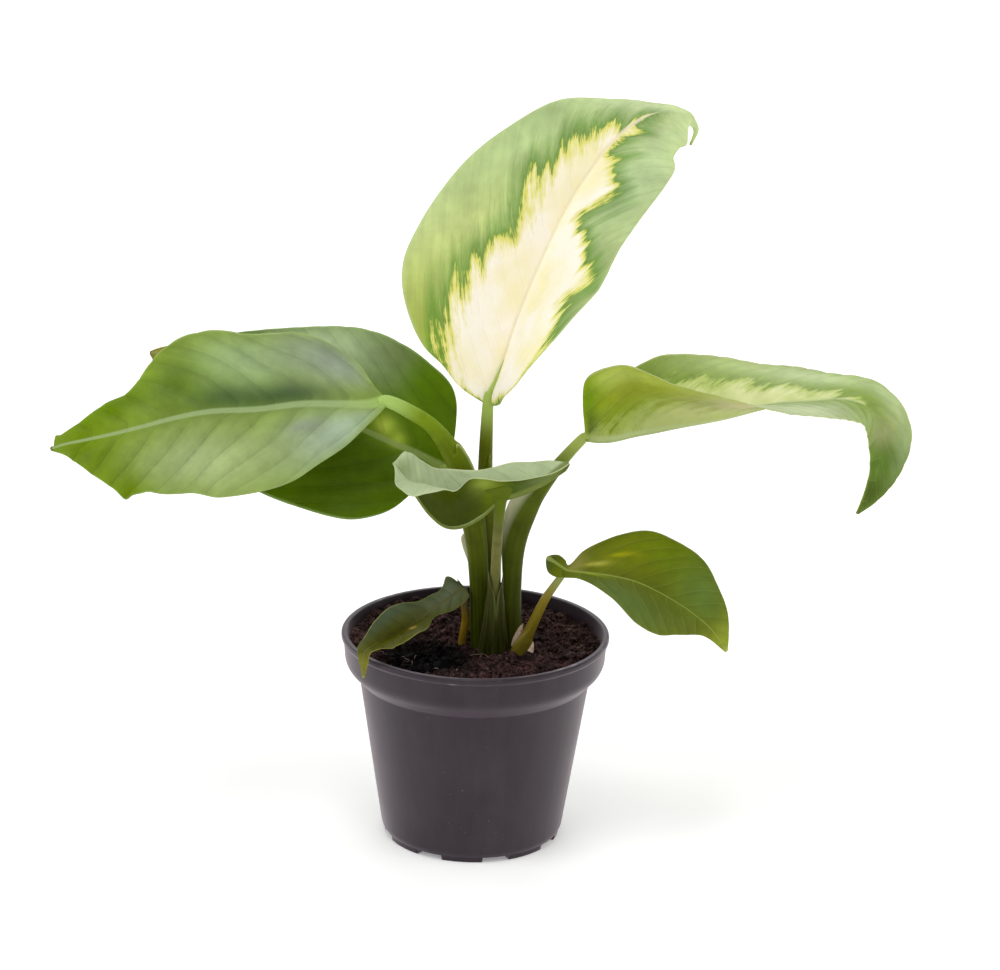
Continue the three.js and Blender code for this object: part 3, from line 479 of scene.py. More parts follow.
class SoilSettings(bpy.types.PropertyGroup):
    """Grain and colour of the potting soil."""
    crumb_count: bpy.props.IntProperty(
        name="Crumbs", description="Number of loose crumbs on the surface", default=1900, min=0)
    crumb_size: bpy.props.FloatProperty(
        name="Crumb size", description="Radius of an average crumb", default=0.8 * MM,
        unit="LENGTH", precision=4)
    fibre_count: bpy.props.IntProperty(
        name="Fibres", description="Number of loose root and peat fibres", default=26, min=0)
    seed: bpy.props.IntProperty(name="Seed", description="Seed of the random draw", default=7)


class LeafSettings(bpy.types.PropertyGroup):
    """How finely the leaf blades are built, and how glossy they are."""
    steps: bpy.props.IntProperty(
        name="Steps along", description="Steps along the midrib of a large blade", default=150, min=20)
    across: bpy.props.IntProperty(
        name="Steps across", description="Steps from the midrib to the margin", default=34, min=6)
    gloss: bpy.props.FloatProperty(
        name="Roughness", description="Roughness of the leaf's waxy skin", default=0.36,
        min=0, max=1, subtype="FACTOR")


class StageSettings(bpy.types.PropertyGroup):
    """Floor and light of the studio."""
    floor_radius: bpy.props.FloatProperty(
        name="Floor radius", description="Radius of the pale floor", default=6.0, unit="LENGTH")
    light: bpy.props.FloatProperty(
        name="Light", description="Strength of all lamps together", default=1.0, min=0)


def linear(code):
    """An sRGB hex colour as linear red, green, blue and alpha."""
    channels = [int(code[i:i + 2], 16) / 255 for i in (0, 2, 4)]
    return [c / 12.92 if c <= 0.04045 else ((c + 0.055) / 1.055) ** 2.4 for c in channels] + [1.0]


def smooth_step(low, high, value):
    """0 below low and 1 above high, with a smooth turn between."""
    share = np.clip((value - low) / (high - low), 0, 1)
    return share * share * (3 - 2 * share)


def unit(vectors):
    """Vectors of length one."""
    return vectors / np.linalg.norm(vectors, axis=-1, keepdims=True)


def along(rows, places):
    """Smooth rows at places from 0 to 1, by the same curve as the solids."""
    rows = np.asarray(rows, float)
    last = len(rows) - 1
    at = np.clip(places, 0, 1) * last
    i = np.minimum(at.astype(int), last - 1)
    f = (at - i)[:, None]
    a, b, c, d = (rows[np.clip(i + k, 0, last)] for k in (-1, 0, 1, 2))
    return 0.5 * (2 * b + (c - a) * f + (2 * a - 5 * b + 4 * c - d) * f ** 2
                  + (3 * b - a - 3 * c + d) * f ** 3)


def ahead_along(rows, places, reach):
    """The way that a route runs at each place, averaged over a reach on both sides."""
    return unit(along(rows, np.minimum(places + reach, 1)) - along(rows, np.maximum(places - reach, 0)))


def bow(half, share):
    """One half of a blade's section: how far out, how far up and the angle there."""
    width, lift, curl = half[:, 0:1], np.radians(half[:, 1:2]), np.radians(half[:, 2:3])
    bend = np.where(np.abs(curl) < 0.002, 0.002, curl)
    start = lift - bend / 2
    angle = start + bend * share
    out = width / bend * (np.sin(angle) - np.sin(start))
    up = width / bend * (np.cos(start) - np.cos(angle))
    return out, up, angle


ATTRIBUTE_KINDS = {1: ("FLOAT", "value"), 3: ("FLOAT_VECTOR", "vector"), 4: ("FLOAT_COLOR", "color")}


def in_scene(name, data):
    """A new object of the scene."""
    obj = bpy.data.objects.new(name, data)
    bpy.context.scene.collection.objects.link(obj)
    return obj


def make_object(name, vertices, faces, material, smooth=True, attributes=None):
    """A mesh object at the origin, from vertices in millimetres."""
    mesh = bpy.data.meshes.new(name)
    mesh.from_pydata([tuple(v) for v in np.asarray(vertices, float) * MM], [], faces)
    mesh.validate()
    for key, values in (attributes or {}).items():
        values = np.asarray(values, np.float32)
        kind, field = ATTRIBUTE_KINDS[values.shape[1] if values.ndim > 1 else 1]
        mesh.attributes.new(key, kind, "POINT").data.foreach_set(field, values.ravel())
    mesh.polygons.foreach_set("use_smooth", [smooth] * len(mesh.polygons))
    mesh.materials.append(material)
    mesh.update()
    return in_scene(name, mesh)


def put_on(obj, node):
    """The piece rides on the plant's one body and stands for a node of the solids."""
    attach(obj, "root")
    if node:
        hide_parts(node)
    return obj


def circle(radius, z, count):
    """Evenly spaced points round the upright axis."""
    turns = (2 * math.pi * i / count for i in range(count))
    return [(radius * math.cos(turn), radius * math.sin(turn), z) for turn in turns]


def ring_faces(rings, sides, offset=0):
    """Faces between rings of vertices that follow one another."""
    faces = []
    for start in range(offset, offset + (rings - 1) * sides, sides):
        for i in range(sides):
            a, b = start + i, start + (i + 1) % sides
            faces.append((a, b, b + sides, a + sides))
    return faces


def tube_faces(rings, sides, offset=0):
    """Faces of a tube, closed by a flat face at each end."""
    last = offset + (rings - 1) * sides
    return ring_faces(rings, sides, offset) + [
        tuple(offset + i for i in reversed(range(sides))), tuple(last + i for i in range(sides))]


def turned_faces(rings, sides):
    """Faces of a turned body, closed by fans to the two points on the axis that follow its rings."""
    last, point = (rings - 1) * sides, rings * sides
    faces = ring_faces(rings, sides)
    for i in range(sides):
        after = (i + 1) % sides
        faces += [(point, after, i), (point + 1, last + i, last + after)]
    return faces


def shell_faces(rows, columns):
    """Faces of a thin closed body, its upper sheet of vertices first and then its lower one."""
    count = rows * columns
    faces = []

    def add_wall(a, b, is_first):
        wall = (a, b, count + b, count + a)
        faces.append(wall if is_first else wall[::-1])

    for k in range(rows - 1):
        for j in range(columns - 1):
            a, b = k * columns + j, k * columns + j + 1
            faces.append((a, b, b + columns, a + columns))
            faces.append((count + a, count + a + columns, count + b + columns, count + b))
    for k in range(rows - 1):
        for j in (0, columns - 1):
            add_wall(k * columns + j, (k + 1) * columns + j, j == 0)
    for k in (0, rows - 1):
        for j in range(columns - 1):
            add_wall(k * columns + j + 1, k * columns + j, k == 0)
    return faces


def flipped(faces):
    """The same faces with their other side out."""
    return [face[:1] + face[:0:-1] for face in faces]


def new_material(name):
    """A material, the tree of its nodes and the place of each point on the object."""
    material = bpy.data.materials.new(name)
    material.use_nodes = True
    tree = material.node_tree
    return material, tree, add(tree, "TexCoord").outputs["Object"]


def link(tree, node, inputs):
    """Gives a node its inputs, by name or in the node's order. Each is a value, a socket, or a node
    whose first output is meant."""
    for key, value in inputs.items() if isinstance(inputs, dict) else enumerate(inputs):
        if isinstance(value, bpy.types.Node):
            value = next(output for output in value.outputs if output.enabled)
        if isinstance(value, bpy.types.NodeSocket):
            tree.links.new(value, node.inputs[key])
        else:
            node.inputs[key].default_value = value


def add(tree, kind, inputs=(), **settings):
    """Adds a shader node with its settings and links."""
    node = tree.nodes.new(f"ShaderNode{kind}")
    for key, value in settings.items():
        setattr(node, key, value)
    link(tree, node, inputs)
    return node


def layered(tree, colour, *layers, smooth=False):
    """Lays colours over a colour. A layer gives the value that it follows, where on that value it
    begins and is full, how strong it is there, and its colour."""
    for value, start, full, strength, over in layers:
        share = add(tree, "MapRange", (value, start, full, 0.0, strength),
                    interpolation_type="SMOOTHSTEP" if smooth else "LINEAR")
        over = linear(over) if isinstance(over, str) else over
        colour = add(tree, "Mix", {"Factor": share, "A": colour, "B": over}, data_type="RGBA")
    return colour


def leaf_material(name, colours, roughness):
    """Living leaf with a waxy skin. The wax gives a soft broad gloss, the lateral veins part the
    green into quilted fields, and cream runs out from the midrib in streaks along them."""
    material, tree, body = new_material(f"living_leaf_{name}")
    # The face's colour with its patches: partly the leaf's own mottling, partly painted sheen.
    colour = add(tree, "Attribute", attribute_name="tone_and_sheen").outputs["Color"]
    along_veins = add(tree, "Attribute", attribute_name="streak_place").outputs["Vector"]
    vein, midrib, share, place = (add(tree, "Attribute", attribute_name=key).outputs["Fac"]
                                  for key in ("vein", "midrib", "share", "place"))
    # The first two patterns run along the veins, and their scale is per vein. The skin's real grain
    # is about 0.1 mm, too fine to show, so it is drawn at 0.5 mm.
    teeth, fibre, cloud, spots, grain = (
        add(tree, "TexNoise", {"Vector": vector, "Scale": scale, "Detail": detail})
        for vector, scale, detail in (
            (along_veins, 4.5, 4.0), (along_veins, 19.0, 3.0), (body, 1 / (15 * MM), 4.0),
            (body, 1 / (4 * MM), 5.0), (body, 1 / (0.5 * MM), 3.0)))

    if "cream" in colours:
        # How far inside the cream a point lies, in millimetres, with the cream's limit drawn out in
        # teeth. The green is deeper beside it.
        inside, paint = (add(tree, "Attribute", attribute_name=key).outputs["Fac"]
                         for key in ("cream", "paint"))
        broad = add(tree, "TexNoise", {"Vector": along_veins, "Scale": 1.2, "Detail": 4.0})
        for pattern, reach in ((broad, 18.0), (teeth, 9.0), (fibre, 8.0), (spots, 5.0)):
            inside = add(tree, "Math", (pattern, reach, inside), operation="MULTIPLY_ADD")
        inside = add(tree, "Math", (inside, 20.0), operation="SUBTRACT")
        colour = layered(tree, colour, (inside, -11.0, -1.0, colours["deepens"], colours["deep"]))

    # The tissue is darker and lighter in clouds and along its fibres. Lateral veins lie at the whole
    # numbers of the vein value, and the field on one side of each is darkened by painted shade, the
    # shadow that a shallow fold would cast.
    light = 0.32
    for pattern, weight in ((cloud, 0.7), (teeth, 0.22), (spots, 0.34), (fibre, 0.1)):
        light = add(tree, "Math", (pattern, weight, light), operation="MULTIPLY_ADD")
    field_place = add(tree, "Math", (vein,), operation="FRACT")
    shade = add(tree, "MapRange", (field_place, 0.0, 0.55, colours["pleat_shade"], 0.0),
                interpolation_type="SMOOTHSTEP")
    uneven = add(tree, "MapRange", (cloud, 0.35, 0.65, 0.2, 1.6))
    shade = add(tree, "Math", (shade, uneven), operation="MULTIPLY")
    light = add(tree, "Math", (light, shade), operation="SUBTRACT")
    colour = add(tree, "HueSaturation", {"Color": colour, "Value": light})

    # The vein lines take the vein colour. On the pale leaves it is the veins' own paler colour; the dark vein
    # colours are painted shade in the sunken veins.
    from_vein = add(tree, "Math", (vein, 0.5), operation="PINGPONG")
    colour = layered(tree, colour, (from_vein, 0.05, 0.0, colours["vein_shows"], colours["vein"]))
    if "cream" in colours:
        pale = layered(tree, linear(colours["cream"]), (cloud, 0.42, 0.68, 0.75, colours["cream_spots"]))
        colour = layered(tree, colour, (inside, -0.9, 0.9, paint, colours["halo"]))
        colour = layered(tree, colour, (inside, 0.2, 6.5, paint, pale), smooth=True)
    rib = layered(tree, linear(colours["midrib"]), (place, 0.2, 0.03, 1.0, colours["midrib_foot"]))
    colour = layered(tree, colour, (midrib, 1.15, 0.6, 0.75, rib),
                     # The pale line along the margin is partly the margin's own paler tissue and partly a
                     # painted highlight on the edge.
                     (share, 0.97, 0.995, 0.55, colours["margin"]),
                     (place, 0.975, 0.997, 1.0, colours["end"]))

    line = add(tree, "MapRange", (from_vein, 0.05, 0.0))
    height = fibre
    for pattern, weight in ((grain, 0.25), (spots, 1.2), (line, -0.6)):
        height = add(tree, "Math", (pattern, weight, height), operation="MULTIPLY_ADD")
    bump = add(tree, "Bump", {"Strength": 0.45, "Distance": 0.3 * MM, "Height": height})
    gloss = add(tree, "MapRange", (cloud, 0.3, 0.7, roughness - 0.05, roughness + 0.1))
    link(tree, tree.nodes["Principled BSDF"], {
        "Base Color": colour, "Roughness": gloss, "Normal": bump, "IOR": 1.45,
        "Specular IOR Level": 0.1, "Subsurface Weight": 0.15,
        "Subsurface Scale": 1.0 * MM, "Subsurface Radius": (0.9, 1.0, 0.4)})
    return material


def stalk_material(name, is_sheath):
    """Living stalk: smooth and juicy, darker at its foot, with fine lengthwise fibres, and of the
    midrib's colour where it joins the blade. Its sheath is the same tissue in thin wings, paler and
    drier towards their free edge."""
    material, tree, body = new_material(f"{'leaf_sheath' if is_sheath else 'living_stalk'}_{name}")
    lengthwise = add(tree, "Attribute", attribute_name="fibre_place").outputs["Vector"]
    place, end = (add(tree, "Attribute", attribute_name=key).outputs["Fac"]
                  for key in ("place", "edge" if is_sheath else "joined"))
    fibre = add(tree, "TexNoise", {"Vector": lengthwise, "Scale": 1.0, "Detail": 4.0})
    patch = add(tree, "TexNoise", {"Vector": body, "Scale": 1 / (6 * MM), "Detail": 4.0})
    middle, foot, top = STALK_COLOURS[name]
    foot_gone, end_layer = 0.42, (end, 0.0, 1.0, 1.0, LEAF_COLOURS[name]["midrib_foot"])
    if is_sheath:
        edge_colour, strength, start, foot_gone = SHEATH_EDGES[name]
        end_layer = (end, start, 1.0, strength, edge_colour)
    colour = layered(tree, linear(foot), (place, 0.12, foot_gone, 1.0, middle),
                     (place, 0.45, 0.85, 1.0, top), smooth=True)
    colour = layered(tree, colour, (fibre, 0.4, 0.75, 0.3, top), (patch, 0.45, 0.75, 0.35, foot), end_layer)
    bump = add(tree, "Bump", {"Strength": 0.3, "Distance": 0.3 * MM, "Height": fibre})
    gloss = add(tree, "MapRange", (patch, 0.3, 0.7, 0.32, 0.45))
    link(tree, tree.nodes["Principled BSDF"], {
        "Base Color": colour, "Roughness": gloss, "Normal": bump, "IOR": 1.4,
        "Specular IOR Level": 0.1, "Subsurface Weight": 0.2,
        "Subsurface Scale": 1.2 * MM, "Subsurface Radius": (0.8, 1.0, 0.3)})
    return material


def pot_material(code):
    """Polypropylene, injection moulded and recycled grey: a satin skin with faint flow lines from
    the mould, light scuffs where pots rub, and specks of dry soil dust."""
    material, tree, body = new_material("moulded_polypropylene")
    # The mould's real grain is about 0.1 mm, too fine to show, so it is drawn at 0.6 mm.
    drawn_up = add(tree, "Mapping", {"Vector": body, "Scale": (1.0, 1.0, 0.12)})
    drawn_round = add(tree, "Mapping", {"Vector": body, "Scale": (1.0, 1.0, 6.0)})
    flow, scuff, cloud, grain, speck = (
        add(tree, "TexNoise", {"Vector": vector, "Scale": 1 / (size_mm * MM), "Detail": detail,
                               "Roughness": roughness})
        for vector, size_mm, detail, roughness in (
            (drawn_up, 5, 4.0, 0.5), (drawn_round, 9, 6.0, 0.75), (body, 22, 3.0, 0.5),
            (body, 0.6, 3.0, 0.5), (body, 1.3, 2.0, 0.5)))
    # Sharp outer edges, the lip's among them, are drawn lighter.
    sharp_edge = add(tree, "NewGeometry").outputs["Pointiness"]
    light = add(tree, "MapRange", (flow, 0.35, 0.7, 1.1, 0.85))
    colour = add(tree, "HueSaturation", {"Color": linear(code), "Value": light})
    colour = layered(tree, colour, (cloud, 0.45, 0.8, 0.3, "4a4248"), (scuff, 0.69, 0.78, 0.2, "857c82"),
                     (speck, 0.73, 0.77, 0.25, "8c7f78"), (sharp_edge, 0.52, 0.6, 0.45, "8a8288"))
    height = add(tree, "Math", (grain, 0.8, flow), operation="MULTIPLY_ADD")
    bump = add(tree, "Bump", {"Strength": 0.15, "Distance": 0.2 * MM, "Height": height})
    gloss = add(tree, "MapRange", (cloud, 0.3, 0.7, 0.34, 0.46))
    link(tree, tree.nodes["Principled BSDF"], {
        "Base Color": colour, "Roughness": gloss, "Normal": bump, "IOR": 1.49,
        "Specular IOR Level": 0.3, "Sheen Weight": 0.8, "Sheen Roughness": 0.35,
        "Sheen Tint": linear("b8a8b4")})
    return material


def peat_material():
    """Moist sphagnum peat, milled and pressed by hand: matt dark crumbs with a purple cast, a few
    bleached fibres and pale mineral flecks. Round the hollow it is painted almost black: painted
    shadow of the low left leaf."""
    material, tree, body = new_material("moist_peat")
    cloud, crumb, fleck = (
        add(tree, "TexNoise", {"Vector": body, "Scale": 1 / (size_mm * MM), "Detail": detail,
                               "Roughness": roughness})
        for size_mm, detail, roughness in ((8, 5.0, 0.5), (1.0, 4.0, 0.7), (0.8, 2.0, 0.5)))
    colour = layered(tree, linear("120909"), (crumb, 0.4, 0.72, 0.95, "7a5755"),
                     (cloud, 0.42, 0.62, 0.7, "170c0d"), (fleck, 0.69, 0.74, 0.6, "96807a"))
    centre = tuple(MM * v for v in (*HOLLOW_PLACE, SOIL_TOP))
    away = add(tree, "VectorMath", (body, centre), operation="DISTANCE").outputs["Value"]
    reach = HOLLOW_REACH * MM
    # Painted shadow: round the hollow the peat is drawn almost black, where the low left leaf's shadow falls.
    colour = layered(tree, colour, (away, 1.2 * reach, 0.6 * reach, 0.98, "040202"), smooth=True)
    bump = add(tree, "Bump", {"Strength": 0.8, "Distance": 0.6 * MM, "Height": crumb})
    link(tree, tree.nodes["Principled BSDF"], {
        "Base Color": colour, "Roughness": 0.85, "Normal": bump, "IOR": 1.4, "Specular IOR Level": 0.15})
    return material


def dry_material(name, dark, pale, size_mm):
    """Dead plant tissue, bleached and papery: dull straw tones that change along it."""
    material, tree, body = new_material(name)
    patch = add(tree, "TexNoise", {"Vector": body, "Scale": 1 / (size_mm * MM), "Detail": 4.0})
    colour = layered(tree, linear(dark), (patch, 0.35, 0.65, 1.0, pale))
    bump = add(tree, "Bump", {"Strength": 0.4, "Distance": 0.1 * MM, "Height": patch})
    link(tree, tree.nodes["Principled BSDF"], {
        "Base Color": colour, "Roughness": 0.75, "Normal": bump, "IOR": 1.5})
    return material


def floor_material():
    """Seamless studio paper, matt, lit until it is almost white, with the faintest mottle."""
    material, tree, body = new_material("studio_paper")
    mottle = add(tree, "TexNoise", {"Vector": body, "Scale": 1 / (60 * MM), "Detail": 3.0})
    colour = layered(tree, linear("f6f6f5"), (mottle, 0.0, 1.0, 1.0, "fcfcfb"))
    link(tree, tree.nodes["Principled BSDF"], {
        "Base Color": colour, "Roughness": 0.9, "Emission Color": linear("ffffff"),
        "Emission Strength": 0.22})
    return material


def painted(base, patches, place, share):
    """A face's colour at each vertex: its base colour with the soft patches laid over it, painted sheen among
    them.
    """
    tone_and_sheen = np.zeros((*place.shape, 4)) + linear(base)
    for code, at_place, at_share, reach, width in patches:
        strength = np.exp(-((place - at_place) / reach) ** 2 - ((share - at_share) / width) ** 2)
        tone_and_sheen += strength[..., None] * (np.array(linear(code)) - tone_and_sheen)
    return tone_and_sheen.reshape(-1, 4)


def vein_value(leaf, length, off, side):
    """A number for each point of one half, whole on the lateral veins and between two in a field."""
    return ((length[:, None] - leaf["vein_slant"] * off - VEIN_BEND * off ** 2) / leaf["vein_spacing"]
            + side * VEIN_STAGGER * smooth_step(0, 3, off))


def relief(leaf, places, share, width, vein, side):
    """How far the skin stands off the blade's plain form, with its waves and its swollen fields."""
    wave = leaf["wave"]
    phase = wave["left"] if side < 0 else wave["right"]
    ripple = (wave["height"] * share ** 2 * np.minimum(1, width / wave["fade"])
              * np.sin(2 * np.pi * (wave["count"] * places[:, None] + phase)))
    # A field is highest in its middle, and swells less towards the margin.
    from_middle = np.abs(2 * (vein - np.floor(vein)) - 1)
    quilt = leaf["quilt"] * smooth_step(0.3, 5, share * width) * (1 - 0.5 * share ** 2)
    return ripple + quilt * (0.55 - from_middle ** 3)


def blade_sheet(leaf, steps, across):
    """The blade's upper and lower sheets, its veins pressed in, with the values for its colours."""
    rows = leaf["rows"]
    places = np.linspace(0, 1, steps + 1)
    midrib = [row[0] for row in rows]
    centre = along(midrib, places)
    ahead = ahead_along(midrib, places, leaf["reach"])
    right = unit(np.cross(ahead, along(leaf["facing"], places)))
    up = np.cross(right, ahead)
    length = np.concatenate([[0], np.cumsum(np.linalg.norm(np.diff(centre, axis=0), axis=1))])
    end = leaf.get("midrib_end", 1.0)
    band = leaf.get("midrib_width", 1.0) * (1 - smooth_step(end, end + MIDRIB_BAND_FADE, places))
    halves = {-1: along([row[1] for row in rows], places), 1: along([row[2] for row in rows], places)}
    for side, at, reach, depth in leaf.get("bumps", ()):
        halves[side][:, 0] += depth * np.exp(-((places - at) / reach) ** 2)

    def normal_of(side, angle):
        return up[:, None] * np.cos(angle)[..., None] - side * right[:, None] * np.sin(angle)[..., None]

    columns = []
    for side in (-1, 1):
        half = halves[side]
        shares = (np.arange(0 if side > 0 else 1, across + 1) / across) ** DENSER_AT_MIDRIB
        share = shares[None, :]
        out, lift, angle = bow(half, share)
        normal = normal_of(side, angle)
        # The halves share their vertices at the midrib, which stand off both by the same thickness.
        if side > 0:
            other = normal_of(-1, bow(halves[-1], share[:, :1])[2])
            opening = np.maximum(1 + np.sum(normal[:, :1] * other, axis=-1, keepdims=True), SHARPEST_FOLD)
            normal[:, :1] = (normal[:, :1] + other) / opening
        width = half[:, 0:1]
        off = share * width
        vein = vein_value(leaf, length, off, side)
        height = relief(leaf, places, share, width, vein, side)
        point = (centre[:, None] + side * right[:, None] * out[..., None] + up[:, None] * lift[..., None]
                 + ahead[:, None] * (half[:, 3:4] * share ** 2)[..., None] + normal * height[..., None])
        thickness = MIDRIB_THICKNESS + (MARGIN_THICKNESS - MIDRIB_THICKNESS) * smooth_step(0, 1, share)
        thickness = np.minimum(thickness, TIP_THICKNESS + 0.4 * width) + 0 * off
        rib = (RIB_DEPTH * (1 - places[:, None]) ** 0.8 * np.exp(-(off / RIB_WIDTH) ** 2)
               * smooth_step(0, 3, width))
        crest = CREST_HEIGHT * np.exp(-(off / CREST_WIDTH) ** 2) * (band * (1 - places))[:, None]
        columns.append({
            "upper": point + normal * (thickness / 2 + crest)[..., None],
            "lower": point - normal * (thickness / 2)[..., None] - up[:, None] * rib[..., None],
            "vein": vein,
            "off": side * off,
            "share": share + 0 * off,
            "place": places[:, None] + 0 * off,
            "midrib_width": 0.01 + (band * np.interp(places, *zip(*MIDRIB_BAND)))[:, None] + 0 * off,
        })
        if "cream" in leaf:
            # How far inside the cream a point lies, in millimetres, and far outside where it has ended
            reach = along(leaf["cream"], places / leaf["cream_end"])[:, [int(side > 0)]]
            columns[-1]["cream"] = (reach - share) * width + 40 * np.minimum(reach + 0.15, 0)

    def joined(key):
        left, centre_and_right = columns[0][key][:, ::-1], columns[1][key]
        return np.concatenate([left, centre_and_right], axis=1)

    return {key: joined(key) for key in columns[0]}


def build_blade(name, leaf, steps, across, roughness):
    """One blade as a closed thin body."""
    sheet = blade_sheet(leaf, steps, across)
    rows, columns = sheet["vein"].shape
    vertices = np.concatenate([sheet["upper"].reshape(-1, 3), sheet["lower"].reshape(-1, 3)])
    colours = LEAF_COLOURS[name]
    streak = np.stack([sheet["vein"], STREAK_LENGTH * sheet["off"], np.sign(sheet["off"])], axis=-1)
    side = sheet["share"] * np.sign(sheet["off"])
    attributes = {key: np.tile(sheet[key].ravel(), 2) for key in ("vein", "share", "place")}
    attributes["midrib"] = np.tile((np.abs(sheet["off"]) / sheet["midrib_width"]).ravel(), 2)
    attributes["streak_place"] = np.tile(streak.reshape(-1, 3), (2, 1))
    attributes["tone_and_sheen"] = np.concatenate([
        painted(colours[face], colours.get(f"patches_{face}", ()), sheet["place"], side)
        for face in ("above", "below")])
    if "cream" in leaf:
        attributes["cream"] = np.tile(sheet["cream"].ravel(), 2)
        attributes["paint"] = np.repeat([colours["cream_above"], colours["cream_below"]], rows * columns)
    return make_object(f"{name}_lamina", vertices, shell_faces(rows, columns),
                       leaf_material(name, colours, roughness), attributes=attributes)


def section_ways(ahead):
    """The two ways across a route: to its side and to its front."""
    side = unit(np.cross(ahead, np.array([0, -1.0, 0])))
    return side, np.cross(side, ahead)


def stalk_frame(leaf, places, is_core=False):
    """Centres, directions and half sizes along a stalk, or along the core that its sheath holds. A
    stalk is drawn on from where the solid one ends into its blade, or to the places given for that."""
    route, ovals = list(leaf["route"]), list(leaf["core"] if is_core else leaf["ovals"])
    if "join" in leaf:
        (route[-1], ovals[-1]), *further = leaf["join"]
        route += [point for point, oval in further]
        ovals += [oval for point, oval in further]
    else:
        first, second = (np.array(row[0], float) for row in leaf["rows"][:2])
        route[-1] = tuple(0.4 * np.array(route[-1]) + 0.6 * first)
        route.append(tuple(first + 0.35 * (second - first) - np.array([0, 0, 0.5])))
        ovals.append((ovals[-1][0] * 0.7, ovals[-1][1] * 0.55))
    centre = along(route, places)
    side, front = section_ways(ahead_along(route, places, 0.01))
    return centre, side, front, along(ovals, places)


def build_stalk(name, leaf):
    """One stalk, a little ribbed, as a closed tube that ends inside its blade's rib."""
    places = np.linspace(0, 1, STALK_RINGS)
    centre, side, front, ovals = stalk_frame(leaf, places, "core" in leaf)
    turns = np.arange(STALK_SIDES) * 2 * np.pi / STALK_SIDES
    ribs = 1 + 0.018 * np.sin(7 * turns + 1.3)[None] + 0.012 * np.sin(11 * turns)[None]
    ring = (centre[:, None]
            + side[:, None] * (ovals[:, 0:1] * np.cos(turns) * ribs)[..., None]
            - front[:, None] * (ovals[:, 1:2] * np.sin(turns) * ribs)[..., None])
    place, turn = np.repeat(places, STALK_SIDES), np.tile(turns, STALK_RINGS)
    joint = leaf["join"][0][0] if "join" in leaf else leaf["rows"][0][0]
    from_blade = np.linalg.norm(centre - np.array(joint), axis=1)
    from_blade[np.argmin(from_blade):] = 0
    attributes = {
        "place": place,
        "joined": np.repeat(1 - smooth_step(*BLADE_COLOUR_REACH, from_blade), STALK_SIDES),
        "fibre_place": np.stack([3 * np.cos(turn), 3 * np.sin(turn), 5 * place], axis=-1),
    }
    return make_object(f"{name}_petiole", ring.reshape(-1, 3), tube_faces(STALK_RINGS, STALK_SIDES),
                       stalk_material(name, False), attributes=attributes)


def build_sheath(name, leaf):
    """The sheath round the foot of a stalk: a thin gutter whose edges stand off as wings."""
    sheath = leaf["sheath"]
    share = np.linspace(0, 1, SHEATH_RINGS)[:, None]
    across = np.linspace(-1, 1, SHEATH_COLUMNS)[None]
    from_middle = np.abs(across)
    foot_wrap, top_wrap = np.radians(sheath["wrap"])
    wrap = foot_wrap + (top_wrap - foot_wrap) * share ** sheath["closed"]
    turn = np.radians(sheath["opens"] + 180) + across * wrap
    wing = sheath["wing"] * smooth_step(*sheath.get("spreads", (0.15, 0.85)), share)
    wing = wing * (1 - sheath.get("closes", 0) * smooth_step(0.85, 1.0, share))
    # Behind, its upper end runs out into the stalk.
    sunk = smooth_step(0.8, 1.0, share) * (1 - smooth_step(0.5, 0.85, from_middle))
    lift = SHEATH_CLEARANCE + wing * smooth_step(0.45, 1.0, from_middle)
    lift = lift - (SHEATH_CLEARANCE + SHEATH_THICKNESS + 0.1) * sunk
    # The upper end stands highest beside the free edges, in a tip each, and falls away behind.
    rise = sheath["tips"] * (np.exp(-((from_middle - 0.86) / 0.12) ** 2) - 1)
    reach = sheath["top"] * share * (1 + rise * share ** 6)
    centre, side, front, ovals = (values.reshape(SHEATH_RINGS, SHEATH_COLUMNS, -1)
                                  for values in stalk_frame(leaf, reach.ravel()))
    sheets = []
    for depth in (SHEATH_THICKNESS, 0.0):
        out = lift + depth * (1 - 0.6 * from_middle ** 3)
        sheets.append(centre + side * ((ovals[..., 0] + out) * np.cos(turn))[..., None]
                      + front * ((ovals[..., 1] + out) * np.sin(turn))[..., None])
    edge = np.maximum(from_middle * (0.6 + 0.4 * smooth_step(0.35, 0.85, share)),
                      smooth_step(0.95, 1, share) * smooth_step(0.5, 0.85, from_middle))
    place, turned = np.tile(reach.ravel(), 2), np.tile(across.ravel(), 2 * SHEATH_RINGS)
    attributes = {
        "place": place,
        "edge": np.tile(edge.ravel(), 2),
        "fibre_place": np.stack([7 * turned, 0 * turned + 5, 5 * place], axis=-1),
    }
    return make_object(f"{name}_sheath", np.concatenate([sheet.reshape(-1, 3) for sheet in sheets]),
                       flipped(shell_faces(SHEATH_RINGS, SHEATH_COLUMNS)), stalk_material(name, True),
                       attributes=attributes)


def rounded(profile, radii, steps=5):
    """A profile whose corners are turned by short curves of the given reach."""
    points = []
    for i, (point, radius) in enumerate(zip(profile, radii)):
        here = Vector(point)
        if radius == 0:
            points.append(here)
            continue
        before, after = Vector(profile[i - 1]) - here, Vector(profile[i + 1]) - here
        start = here + before.normalized() * min(radius, before.length / 2)
        end = here + after.normalized() * min(radius, after.length / 2)
        for k in range(steps + 1):
            t = k / steps
            points.append(start * (1 - t) ** 2 + here * 2 * t * (1 - t) + end * t ** 2)
    return [(p.x, p.y) for p in points]


